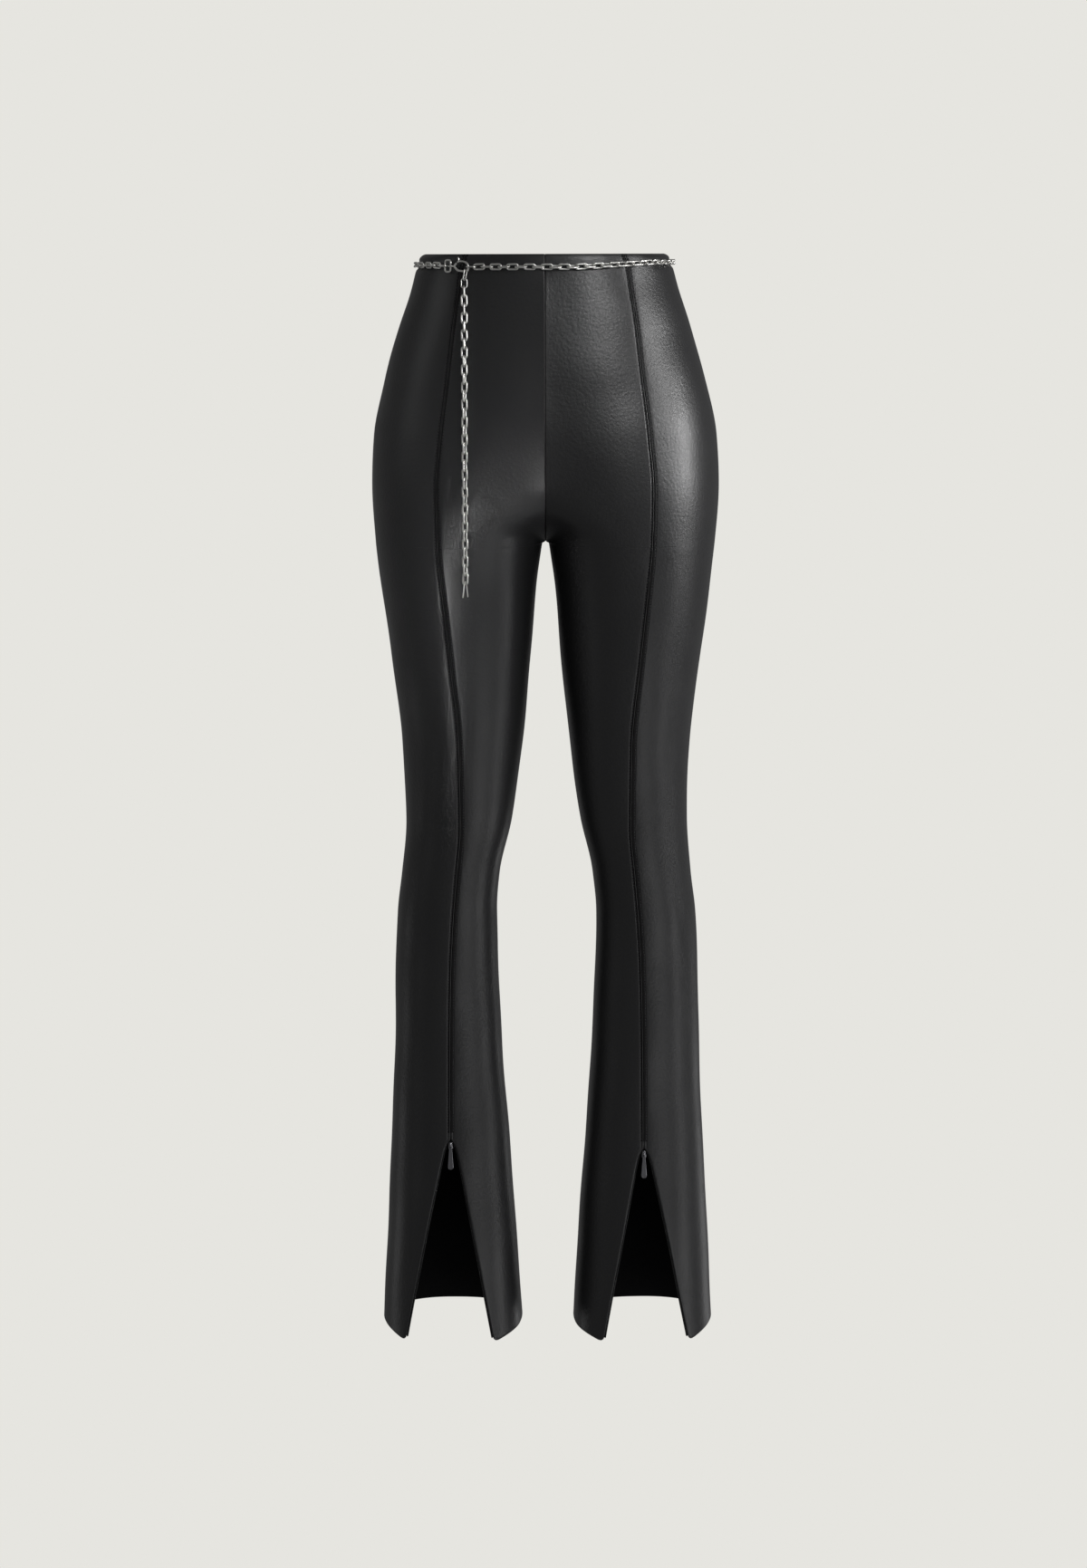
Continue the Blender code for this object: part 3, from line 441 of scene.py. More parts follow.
# Soft creases where the cloth gives: at the crotch, by the hip, in the hollow of the knee and
# under the seat. Each is a trough between two places on the front or the back.
Crease = namedtuple("Crease", "face x1 z1 x2 z2 width depth")
CREASES = (
    Crease("front", 0.012, -0.236, 0.060, -0.205, 0.0070, 0.0004),
    Crease("front", -0.010, -0.232, -0.056, -0.206, 0.0065, 0.0003),
    Crease("front", -0.0915, -0.160, -0.0875, -0.184, 0.0046, 0.0011),
    Crease("front", -0.0870, -0.190, -0.0885, -0.214, 0.0046, 0.0010),
    Crease("front", 0.118, -0.512, 0.066, -0.530, 0.0090, 0.0005),
    Crease("front", -0.112, -0.520, -0.060, -0.533, 0.0085, 0.0005),
    Crease("back", 0.052, -0.522, 0.122, -0.516, 0.0080, 0.0013),
    Crease("back", 0.060, -0.546, 0.128, -0.552, 0.0090, 0.0011),
    Crease("back", 0.048, -0.496, 0.110, -0.482, 0.0090, 0.0009),
    Crease("back", 0.072, -0.578, 0.130, -0.590, 0.0080, 0.0006),
    Crease("back", -0.056, -0.527, -0.126, -0.513, 0.0085, 0.0013),
    Crease("back", -0.064, -0.552, -0.124, -0.556, 0.0085, 0.0010),
    Crease("back", -0.044, -0.492, -0.116, -0.486, 0.0090, 0.0009),
    Crease("back", -0.070, -0.585, -0.134, -0.588, 0.0075, 0.0006),
    Crease("back", 0.020, -0.262, 0.100, -0.284, 0.0100, 0.0014),
    Crease("back", -0.018, -0.266, -0.104, -0.281, 0.0100, 0.0014),
    Crease("back", 0.022, -0.292, 0.074, -0.322, 0.0090, 0.0008),
    Crease("back", -0.024, -0.296, -0.070, -0.330, 0.0095, 0.0008),
    Crease("back", 0.010, -0.040, 0.062, -0.052, 0.0080, 0.0006),
    Crease("back", -0.010, -0.046, -0.058, -0.060, 0.0080, 0.0006),
)


def belt_height(x):
    """The chain sags a little at the middle and stands higher at the wearer's left."""
    left = BELT_RISE_LEFT * ease((x - BELT_RISE_LEFT_START) / BELT_RISE_LEFT_FADE)
    right = BELT_RISE_RIGHT * ease((-x - BELT_RISE_RIGHT_START) / BELT_RISE_RIGHT_FADE)
    return BELT_LOW + left + right


def at_side(x):
    """Share of the way that the cloth at waist height has turned to the side."""
    return ease((np.abs(x) - SIDE_START) / SIDE_FADE)


def crease_depth(points):
    """How far the creases and the cloth's slight unevenness press the surface in."""
    x, y, z = points.T
    # Two long waves cross at odd lengths, so that no pattern shows.
    waves = np.sin(z * 61 + 2.1 * np.sin(x * 37) + 1.3) + np.sin(z * 34 - x * 51 + y * 43)
    total = UNEVEN * waves * ease((UNEVEN_TOP - z) / UNEVEN_FADE)
    ridge = ease((RIDGE_TOP - z) / RIDGE_TOP_FADE) * ease((z - RIDGE_END) / RIDGE_END_FADE)
    total = total - RIDGE * ridge * (y < 0) * np.exp(-np.abs(x) / RIDGE_REACH)
    princess = np.interp(-z, [-ring.height for ring in RINGS], [ring.princess for ring in RINGS])
    below = np.maximum(np.where(x > 0, SLIT_TOP["L"], SLIT_TOP["R"]) - z, 0)
    beside = np.maximum(np.abs(np.abs(x) - princess) - SLIT_SLOPE * below, 0)
    lift = {leg: sum(rise.share * ease((rise.height - z) / rise.stretch) for rise in rises)
            for leg, rises in PRINCESS_RISES.items()}
    ridge = np.where(x > 0, lift["L"], lift["R"]) * (y < 0)
    total = total - PRINCESS_RIDGE * ridge * np.exp(-beside / PRINCESS_REACH)
    total = total + BELT_DENT * at_side(x) * np.exp(-((z - belt_height(x)) / BELT_DENT_HALF) ** 4)
    for crease in CREASES:
        ends = [np.array((cx, cloth_y(cx, cz, crease.face), cz))
                for cx, cz in ((crease.x1, crease.z1), (crease.x2, crease.z2))]
        run = ends[1] - ends[0]
        share = (points - ends[0]) @ run / (run @ run)
        nearest = ends[0] + np.clip(share, 0, 1)[:, None] * run
        off = (np.linalg.norm(points - nearest, axis=1) / crease.width) ** 2
        fade = np.sin(np.clip(share * 0.8 + 0.1, 0, 1) * math.pi)
        total = total + crease.depth * fade * (1 - off) * np.exp(-off)
    return total


def steps_to(start, end, count):
    """Even steps after a start, up to an end."""
    return list(np.linspace(start, end, count + 1)[1:])


def cloth_rows(leg):
    """Heights of the rows of points, close together at the turned top, crotch, slit and hem."""
    roll = [TOP - TOP_ROLL + TOP_ROLL * math.sin(turn)
            for turn in np.linspace(math.radians(85), 0, 9)]
    below_belt = -0.012
    waist = steps_to(roll[-1], below_belt, 11)
    hips = steps_to(below_belt, SEAT_TOP, 32)
    seat = [SEAT_TOP + (CROTCH - SEAT_TOP) * math.sin(turn)
            for turn in steps_to(0, QUARTER_TURN, 30)]
    arch = [CROTCH - ARCH * (1 - math.cos(turn)) for turn in steps_to(0, QUARTER_TURN, 7)]
    crotch = steps_to(CROTCH - ARCH, CROTCH_END, 15)
    closed = SLIT_TOP[leg] + SLIT_OPENING
    opened = SLIT_TOP[leg] - SLIT_ROUNDED
    corner = HEM + HEM_TIP_ROUND
    hem = [HEM + HEM_TIP_ROUND * (1 - math.sin(turn)) for turn in steps_to(0, QUARTER_TURN, 11)]
    return (roll + waist + hips + seat + arch + crotch + steps_to(CROTCH_END, closed, 109)
            + steps_to(closed, opened, 29) + steps_to(opened, corner, 33) + hem)


def edge_lines(piece, end, height, leg):
    """Lines of points beside one edge of a panel: a stitched seam turns into the open slit."""
    if (piece, end) not in (("front_inner", 1), ("front_outer", 0)):
        return np.array(PLAIN_SEAM) / 1000
    opened = ease((SLIT_TOP[leg] + SLIT_OPENING / 2 - height) / SLIT_OPENING)
    return (np.array(STITCHED_SEAM) * (1 - opened) + np.array(SLIT_EDGE) * opened) / 1000


def panel_span(piece, height, leg):
    """A panel's two edges, drawn in at the hem to round its corner beside the slit."""
    start, end = edges(height, leg)[piece]
    above = max(HEM_TIP_ROUND - (height - HEM), 0.0)
    drawn = HEM_TIP_ROUND - math.sqrt(max(HEM_TIP_ROUND ** 2 - above ** 2, 0.0))
    if piece == "front_inner":
        end -= drawn
    if piece == "front_outer":
        start += drawn
    return start, end


def middle_shares(piece, height, leg, columns):
    """Shares of a panel's width for its middle columns, which stay even beside the crotch."""
    def width(at):
        start, end = panel_span(piece, at, leg)
        return end - start - 2 * MARGIN

    steady = here = width(height)
    if CROTCH_END < height < SEAT_TOP:
        down = (SEAT_TOP - height) / (SEAT_TOP - CROTCH_END)
        steady = (1 - down) * width(SEAT_TOP) + down * width(CROTCH_END)
    shares = np.linspace(0, 1, columns + 1)
    places = shares * (steady + (here - steady) * shares ** 4) / here
    return 1 - places[::-1] if piece == "front_inner" else places


def cloth_points(height, along, depth, leg):
    """Points below the outer face by the depth and the creases, on the leg's own side."""
    face = skin(height, along, leg)
    normal = outward(height, along, leg)
    if leg == "R":
        face[:, 0] *= -1
        normal[:, 0] *= -1
    return face - normal * (depth + crease_depth(face))[:, None]


def grid_wall(outer, inner):
    """Closed wall between two grids of points, with the faces of the inner one last."""
    rows, columns = outer.shape[:2]
    index = np.arange(rows * columns).reshape(rows, columns)
    size = rows * columns
    quads = np.stack((index[:-1, :-1], index[1:, :-1], index[1:, 1:], index[:-1, 1:]), -1)
    quads = quads.reshape(-1, 4)
    loop = np.concatenate((index[0, :-1], index[:-1, -1], index[-1, :0:-1], index[:0:-1, 0]))
    after = np.roll(loop, -1)
    rim = np.stack((loop, after, after + size, loop + size), -1)
    faces = np.vstack((quads, rim, quads[:, ::-1] + size))
    return np.vstack((outer.reshape(-1, 3), inner.reshape(-1, 3))), faces, len(quads)


def closed_mesh(name, vertices, faces):
    """Smooth mesh with its faces turned outwards."""
    mesh = bpy.data.meshes.new(name)
    mesh.from_pydata(vertices, [], faces)
    bm = bmesh.new()
    bm.from_mesh(mesh)
    bmesh.ops.recalc_face_normals(bm, faces=bm.faces)
    bm.to_mesh(mesh)
    bm.free()
    mesh.shade_smooth()
    return mesh


def add_piece(name, mesh, body, slot, *nodes):
    """Finished piece that rides on a body, in place of the plain solids that it names."""
    piece = bpy.data.objects.new(name, mesh)
    bpy.context.scene.collection.objects.link(piece)
    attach(piece, body)
    if nodes:
        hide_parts(*nodes)
    return piece


def panel_faces(piece, leg, rows, spans, columns):
    """Points of a panel's outer and inner face, row by row."""
    outer, inner = [], []
    for height, (start, end) in zip(rows, spans):
        first = edge_lines(piece, 0, height, leg)
        last = edge_lines(piece, 1, height, leg)[::-1]
        room = end - start - 2 * MARGIN
        middle = start + MARGIN + room * middle_shares(piece, height, leg, columns)[1:-1]
        turned = max(HEM_TURN - (height - HEM) * HEM_TURN_SLOPE, 0.0)
        for grid, place, depth, deep in ((outer, 0, 1, 0.0), (inner, 2, 3, WALL)):
            along = np.concatenate((start + first[:, place], middle, end - last[:, place]))
            depths = np.concatenate((first[:, depth], np.full(len(middle), deep), last[:, depth]))
            if grid is outer:
                depths += turned
            grid.append(cloth_points(height, along, depths, leg))
        if height > CROTCH and piece != "front_outer":
            lapped = slice(0, 2) if piece == "front_inner" else slice(-2, None)
            outer[-1][lapped, 0] = -LAP if leg == "L" else LAP
    return np.array(outer), np.array(inner)


def panel_patches(piece, leg, rows, columns):
    """Which leather each face of a panel's outer side has: 0 is plain and 2 is the darker leather
    painted as the seam's shade.
    """
    patches = np.zeros((len(rows) - 1, columns), int)
    closed = np.array(rows[1:]) > SLIT_TOP[leg] + SLIT_OPENING / 2
    if piece == "front_inner":
        # The band beside a stitched seam gets the painted seam shade, down to where the slit opens.
        patches[:, [-1 - step for step in SEAM_SHADE_STEPS]] = 2 * closed[:, None]
    if piece == "front_outer":
        patches[:, SEAM_SHADE_STEPS] = 2 * closed[:, None]
    return patches.ravel()


for leg in ("L", "R"):
    for node in ("front_inner", "front_outer", "back"):
        rows = cloth_rows(leg)
        spans = [panel_span(node, height, leg) for height in rows]
        widths = [end - start for start, end in spans]
        outer, inner = panel_faces(node, leg, rows, spans, round(max(widths) / COLUMN_WIDTH))
        vertices, faces, cloth_faces = grid_wall(outer, inner)
        mesh = closed_mesh(f"{node}_panel_{leg}", vertices, faces)
        for material in (coated_leather, knit_backing, seam_shade_leather):
            mesh.materials.append(material)
        patches = np.zeros(len(faces), int)
        patches[:cloth_faces] = panel_patches(node, leg, rows, outer.shape[1] - 1)
        patches[-cloth_faces:] = 1
        mesh.polygons.foreach_set("material_index", patches)
        panel = add_piece(f"{node}_panel_{leg}", mesh, "trousers", "black_leather", f"{node}_{leg}")

# --- what repeats along a path -----------------------------------------------------------------
# Stitches, zip teeth and chain links are one shape each, set at even steps along a path.
# The path's points carry the direction that the shape's Z takes and its turn about the path.
def make_repeater():
    """Geometry Nodes tree that sets a shape along a path."""
    tree = bpy.data.node_groups.new("shape_along_path", "GeometryNodeTree")
    for name, kind in (("Path", "NodeSocketGeometry"), ("Shape", "NodeSocketObject"),
                       ("Pitch", "NodeSocketFloat"), ("Every Other Turn", "NodeSocketFloat"),
                       ("Looseness", "NodeSocketFloat"), ("Seed", "NodeSocketInt"),
                       ("Material", "NodeSocketMaterial")):
        tree.interface.new_socket(name, in_out="INPUT", socket_type=kind)
    tree.interface.new_socket("Geometry", in_out="OUTPUT", socket_type="NodeSocketGeometry")
    given = tree.nodes.new("NodeGroupInput").outputs
    line = add_node(tree, "GeometryNodeMeshToCurve", {"Mesh": given["Path"]})
    steps = add_node(tree, "GeometryNodeResampleCurve",
                     {"Curve": line.outputs["Curve"], "Length": given["Pitch"]}, mode="LENGTH")
    facing = add_node(tree, "GeometryNodeInputNamedAttribute", {"Name": "facing"},
                      data_type="FLOAT_VECTOR")
    turn = add_node(tree, "GeometryNodeInputNamedAttribute", {"Name": "turn"}, data_type="FLOAT")
    stance = add_node(tree, "FunctionNodeAxesToRotation",
                      {"Primary Axis": add_node(tree, "GeometryNodeInputTangent").outputs[0],
                       "Secondary Axis": facing.outputs["Attribute"]},
                      primary_axis="X", secondary_axis="Z")
    odd = add_node(tree, "ShaderNodeMath",
                   {0: add_node(tree, "GeometryNodeInputIndex").outputs[0], 1: 2.0},
                   operation="MODULO")
    alternate = add_node(tree, "ShaderNodeMath",
                         {0: odd.outputs[0], 1: given["Every Other Turn"],
                          2: turn.outputs["Attribute"]}, operation="MULTIPLY_ADD")
    loose = add_node(tree, "FunctionNodeRandomValue",
                     {"Seed": given["Seed"], "Min": (-1.0, -1.0, -1.0), "Max": (1.0, 1.0, 1.0)},
                     data_type="FLOAT_VECTOR")
    sway = add_node(tree, "ShaderNodeVectorMath",
                    {0: loose.outputs["Value"], "Scale": given["Looseness"]}, operation="SCALE")
    about_path = add_node(tree, "ShaderNodeCombineXYZ", {"X": alternate.outputs[0]})
    angles = add_node(tree, "ShaderNodeVectorMath",
                      {0: about_path.outputs[0], 1: sway.outputs[0]}, operation="ADD")
    local = add_node(tree, "FunctionNodeEulerToRotation", {"Euler": angles.outputs[0]})
    turned = add_node(tree, "FunctionNodeRotateRotation",
                      {"Rotation": stance.outputs[0], "Rotate By": local.outputs[0]},
                      rotation_space="LOCAL")
    shape = add_node(tree, "GeometryNodeObjectInfo", {"Object": given["Shape"]})
    copies = add_node(tree, "GeometryNodeInstanceOnPoints",
                      {"Points": steps.outputs["Curve"], "Instance": shape.outputs["Geometry"],
                       "Rotation": turned.outputs[0]})
    real = add_node(tree, "GeometryNodeRealizeInstances", {"Geometry": copies.outputs[0]})
    painted = add_node(tree, "GeometryNodeSetMaterial",
                       {"Geometry": real.outputs[0], "Material": given["Material"]})
    output = tree.nodes.new("NodeGroupOutput")
    tree.links.new(painted.outputs[0], output.inputs["Geometry"])
    return tree


repeater = make_repeater()


def path_mesh(name, *lines):
    """Loose lines of points: each line is its points, their facing directions and their turns."""
    points = np.vstack([line[0] for line in lines])
    pairs, start = [], 0
    for line in lines:
        pairs += [(start + index, start + index + 1) for index in range(len(line[0]) - 1)]
        start += len(line[0])
    mesh = bpy.data.meshes.new(name)
    mesh.from_pydata(points, pairs, [])
    facing = mesh.attributes.new("facing", "FLOAT_VECTOR", "POINT")
    facing.data.foreach_set("vector", np.vstack([line[1] for line in lines]).ravel())
    turn = mesh.attributes.new("turn", "FLOAT", "POINT")
    turn.data.foreach_set("value", np.concatenate([line[2] for line in lines]))
    return mesh


def repeated_mesh(name, path, shape, material, pitch, seed, every_other=0.0, looseness=0.0):
    """Plain mesh of a shape set along a path."""
    kept = bpy.data.objects.new(f"{name}_shape", shape)
    drawn = bpy.data.objects.new(name, path)
    for made in (kept, drawn):
        bpy.context.scene.collection.objects.link(made)
    modifier = drawn.modifiers.new("repeat", "NODES")
    modifier.node_group = repeater
    settings = {"Shape": kept, "Pitch": pitch, "Every Other Turn": every_other,
                "Looseness": looseness, "Seed": seed, "Material": material}
    for socket in repeater.interface.items_tree:
        if socket.in_out == "INPUT" and socket.name in settings:
            modifier[socket.identifier] = settings[socket.name]
    depsgraph = bpy.context.evaluated_depsgraph_get()
    mesh = bpy.data.meshes.new_from_object(drawn.evaluated_get(depsgraph))
    for made in (drawn, kept):
        bpy.data.objects.remove(made)
    mesh.name = name
    mesh.shade_smooth()
    return mesh


def seam_line(place, heights, leg):
    """Line down a leg's cloth: its points, the directions away from the cloth and no turn."""
    points, directions = [], []
    for height in heights:
        along, depth = place(height)
        face = cloth_points(height, np.array([along]), np.array([depth]), leg)[0]
        away = outward(height, np.array([along]), leg)[0]
        if leg == "R":
            away[0] *= -1
        points.append(face)
        directions.append(away)
    return np.array(points), np.array(directions), np.zeros(len(points))


def rounded_bar(name, length, width, height, around=8, rings=5):
    """Small closed bar with rounded ends, long in X and standing in Z."""
    bm = bmesh.new()
    bmesh.ops.create_uvsphere(bm, u_segments=around, v_segments=rings, radius=0.5,
                              matrix=Matrix.Rotation(QUARTER_TURN, 4, "Y"))
    bmesh.ops.scale(bm, vec=(length, width, height), verts=bm.verts)
    mesh = bpy.data.meshes.new(name)
    bm.to_mesh(mesh)
    bm.free()
    mesh.shade_smooth()
    return mesh


# --- the topstitching --------------------------------------------------------------------------
# Two rows of black polyester thread run down each princess seam, 2.5 mm to either side of it,
# about nine stitches to the inch. They stop where the slit's edges part.
STITCH_ROW = 0.0025
STITCH_PITCH = 0.0028
STITCH_LENGTH = 0.0023
STITCH_WIDTH = 0.0007
STITCH_THICK = 0.0005
STITCH_DEPTH = 0.00016        # the middle of the thread below the cloth's face
STITCH_TOP = 0.0035           # from the top edge to the first stitch
STITCH_END = 0.009            # from the last stitch to the slit
STITCH_LINE_STEPS = 420

# Spun thread has a soft shine. Its colour is painted lighter than black thread as painted sheen, so
# that it stands out a little from the duller leather beside it.
polyester_thread = surfaced(new_material("black_polyester_thread")[0],
                            {"Base Color": colour("#343436"), "Roughness": 0.34})

for leg in ("L", "R"):
    heights = np.linspace(TOP - STITCH_TOP, SLIT_TOP[leg] + STITCH_END, STITCH_LINE_STEPS)
    for node, end, side in (("front_inner", 1, -1), ("front_outer", 0, 1)):
        row = seam_line(lambda height: (edges(height, leg)[node][end] + side * STITCH_ROW,
                                        STITCH_DEPTH), heights, leg)
        name = f"topstitching_{node}_{leg}"
        stitch = rounded_bar("stitch", STITCH_LENGTH, STITCH_WIDTH, STITCH_THICK)
        mesh = repeated_mesh(name, path_mesh(name, row), stitch, polyester_thread,
                             STITCH_PITCH, seed=11)
        add_piece(name, mesh, "trousers", "black_leather")

# --- the zips ----------------------------------------------------------------------------------
# A fine zip opens each slit from the hem up. Each half is a woven polyester tape, sewn behind the
# slit's folded edge, with a nylon coil along it that shows past the edge.
TAPE_WIDTH = 0.012
TAPE_PROUD = 0.0012           # the tape's reach past the edge of the leather
TAPE_WALL = 0.0008
TAPE_DEPTH = 0.0018           # behind the cloth's outer face
TAPE_TOP = 0.0004             # below the top of the slit
TAPE_TOP_LENGTH = 0.020
TAPE_END = 0.0045             # above the hem
TAPE_COLUMNS = (0.0, 0.0009, 0.0030, 0.0060, 0.0090, TAPE_WIDTH + TAPE_PROUD)
TOOTH_PITCH = 0.00125
TOOTH_LENGTH = 0.0009
TOOTH_WIDTH = 0.0014
TOOTH_THICK = 0.0010
COIL_PROUD = 0.0006           # from the edge of the leather to the coil's middle
COIL_START = 4                # the row of the tape's points at which the coil starts
WAVE_TURN = 20                # radians that a wave texture of scale 1 turns over one metre


def make_zip_tape():
    """Plain-woven ribbon: its real ribs are 0.7 mm apart, drawn twice as wide so that they show."""
    made, tree = new_material("woven_zip_tape")
    place = add_node(tree, "ShaderNodeTexCoord").outputs["Object"]
    ribs = add_node(tree, "ShaderNodeTexWave",
                    {"Vector": place, "Scale": per_metre(1.38) * math.tau / WAVE_TURN},
                    bands_direction="Z")
    bump = add_node(tree, "ShaderNodeBump", {"Height": ribs.outputs["Fac"], "Strength": 0.5,
                                             "Distance": 0.0001})
    return surfaced(made, {"Base Color": colour("#101011"), "Roughness": 0.8,
                           "Normal": bump.outputs["Normal"]})


woven_tape = make_zip_tape()

# Drawn nylon wire, coiled and set by heat, with a soft shine.
nylon_coil = surfaced(new_material("black_nylon_coil")[0],
                      {"Base Color": colour("#151516"), "Roughness": 0.35})

for leg in ("L", "R"):
    top = SLIT_TOP[leg] - TAPE_TOP
    straight = top - TAPE_TOP_LENGTH
    heights = [top] + steps_to(top, straight, 15) + steps_to(straight, HEM + TAPE_END, 59)
    for node, end, side in (("front_inner", 1, 1), ("front_outer", 0, -1)):
        edge_name = node.removeprefix("front_")
        outer, inner = [], []
        for height in heights:
            edge = edges(height, leg)[node][end] + side * TAPE_PROUD
            along = edge - side * np.array(TAPE_COLUMNS)
            for grid, depth in ((outer, TAPE_DEPTH), (inner, TAPE_DEPTH + TAPE_WALL)):
                grid.append(cloth_points(height, along, np.full(len(along), depth), leg))
        name = f"zip_tape_{edge_name}_{leg}"
        vertices, faces, _ = grid_wall(np.array(outer), np.array(inner))
        mesh = closed_mesh(name, vertices, faces)
        mesh.materials.append(woven_tape)
        tape = add_piece(name, mesh, "trousers", "black_zip_tape", name)
        coil_line = seam_line(lambda height: (edges(height, leg)[node][end] + side * COIL_PROUD,
                                              TAPE_DEPTH), heights[COIL_START:], leg)
        tooth = rounded_bar("tooth", TOOTH_LENGTH, TOOTH_WIDTH, TOOTH_THICK, around=6, rings=4)
        coil_name = f"zip_coil_{edge_name}_{leg}"
        teeth = repeated_mesh(coil_name, path_mesh(name, coil_line), tooth, nylon_coil,
                              TOOTH_PITCH, seed=12)
        coil = add_piece(coil_name, teeth, "trousers", "black_zip_tape")

# --- sliders and pull tabs ---------------------------------------------------------------------
# Die-cast zinc, plated in black nickel. The slider's crown carries a teardrop tab with a raised
# rim, which hangs over the zip's mouth and swings on the crown.
# Each layer of the slider has its depth behind the cloth's face, its half width at the top and
# at the bottom, its height and the radius of its corners. Each layer of the tab has its depth
# behind the tab's middle and how far it is drawn in.
Layer = namedtuple("Layer", "depth half_top half height corner")
SLIDER_BODY = (
    Layer(0.0014, 0.0012, 0.0018, 0.0060, 0.0005), Layer(0.0010, 0.0016, 0.0022, 0.0065, 0.0006),
    Layer(-0.0003, 0.0016, 0.0022, 0.0065, 0.0006), Layer(-0.0007, 0.0014, 0.0020, 0.0062, 0.0006),
    Layer(-0.0008, 0.0010, 0.0016, 0.0055, 0.0006))
SLIDER_CROWN = (
    Layer(-0.0007, 0.0007, 0.0008, 0.0042, 0.0004), Layer(-0.0010, 0.0007, 0.0008, 0.0040, 0.0004),
    Layer(-0.0012, 0.0005, 0.0006, 0.0032, 0.0003))
SLIDER_TOP = 0.0030           # below the top of the slit
SLIDER_PROUD = 0.0012         # from the cloth's face to the crown's top
CROWN_TOP = 0.0006            # below the slider's top
PULL_GAP = 0.0003
PULL_HINGE = 0.0052           # below the slider's top
PULL_LENGTH = 0.0215
PULL_HALF = 0.00275
PULL_WRAP = 6                 # degrees that the round end runs past its half circle
PULL_TOP_HALF = 0.0013
PULL_TOP_SHARE = 0.7          # how much of a layer's drawing in the top takes
PULL_SHOULDER = 0.0007        # how far the tab's top corners fall away
PULL_THICK = 0.0012
PULL_ABOVE = 0.0005
PULL_LAYERS = ((0.0006, 0.0003), (0.0003, 0.0), (-0.0003, 0.0), (-0.0005, 0.00012),
               (-0.0006, 0.0003), (-0.0006, 0.0006), (-0.0002, 0.0008))
SHARP_EDGE = math.radians(50)

# Black nickel is a dark mirror, so the tab shows grey where a light meets it and black elsewhere.
black_plating = surfaced(new_material("black_plated_zinc")[0],
                         {"Base Color": colour("#88888c"), "Metallic": 1.0, "Roughness": 0.28})


def layered_mesh(name, layers, place):
    """Closed shape of stacked outlines in X and Z, from its back to its front and capped."""
    count = len(layers[0][1])
    vertices = [place @ Vector((x, y, z)) for y, outline in layers for x, z in outline]
    faces = [tuple(range(count)), tuple(range(len(vertices) - 1, len(vertices) - 1 - count, -1))]
    for layer in range(len(layers) - 1):
        for index in range(count):
            after = (index + 1) % count
            low, high = layer * count, (layer + 1) * count
            faces.append((low + index, high + index, high + after, low + after))
    return closed_mesh(name, vertices, faces)


def teardrop(inset):
    """Outline of the tab, drawn in by an inset: a round end below and two straight sides."""
    centre = -(PULL_LENGTH - PULL_HALF)
    turns = np.radians(np.linspace(-180 - PULL_WRAP, PULL_WRAP, 21))
    radius = PULL_HALF - inset
    bottom = [(radius * math.cos(turn), centre + radius * math.sin(turn)) for turn in turns]
    top_half = PULL_TOP_HALF - inset * PULL_TOP_SHARE
    top = [(top_half * math.sin(turn), PULL_ABOVE - inset - PULL_SHOULDER * (1 - math.cos(turn)))
           for turn in np.radians(np.linspace(80, -80, 7))]
    return bottom + top


def quarter_turns(corners, radius, steps=4):
    """Outline round four corners, each given by its centre and the turn that it starts at."""
    outline = []
    for x, z, start in corners:
        turns = np.radians(np.linspace(start, start + 90, steps))
        outline += [(x + radius * math.cos(turn), z + radius * math.sin(turn)) for turn in turns]
    return outline


def block_outline(layer):
    """Outline of the slider's face with rounded corners, narrower at the top."""
    low, half, half_top = layer.corner - layer.height, layer.half, layer.half_top
    inward = layer.corner
    return quarter_turns(((half - inward, low, -90), (half_top - inward, -inward, 0),
                          (inward - half_top, -inward, 90), (inward - half, low, 180)), inward)


for leg in ("L", "R"):
    height = SLIT_TOP[leg] - SLIDER_TOP
    x = smooth(height, "princess")
    face = Vector((x if leg == "L" else -x, cloth_y(x, height, "front"), height))
    body = layered_mesh("slider", [(layer.depth, block_outline(layer)) for layer in SLIDER_BODY],
                        Matrix.Translation(face))
    body.set_sharp_from_angle(angle=SHARP_EDGE)
    crown = layered_mesh("crown", [(layer.depth, block_outline(layer)) for layer in SLIDER_CROWN],
                         Matrix.Translation(face - Vector((0, 0, CROWN_TOP))))
    slider_bm = bmesh.new()
    slider_bm.from_mesh(body)
    slider_bm.from_mesh(crown)
    slider_mesh = bpy.data.meshes.new(f"zip_slider_{leg}")
    slider_bm.to_mesh(slider_mesh)
    slider_bm.free()
    slider_mesh.materials.append(black_plating)
    add_piece(f"zip_slider_{leg}", slider_mesh, "trousers", "black_zip_metal",
              f"zip_slider_{leg}")
    hinge = face + Vector((0, -SLIDER_PROUD - PULL_GAP - PULL_THICK / 2, -PULL_HINGE))
    pull = layered_mesh(f"zip_pull_{leg}",
                        [(depth, teardrop(inset)) for depth, inset in PULL_LAYERS],
                        Matrix.Translation(hinge))
    pull.set_sharp_from_angle(angle=SHARP_EDGE)
    pull.materials.append(black_plating)
    body_name = {"L": "pull_left", "R": "pull_right"}[leg]
    add_piece(f"zip_pull_{leg}", pull, body_name, "black_zip_metal", f"zip_pull_{leg}")

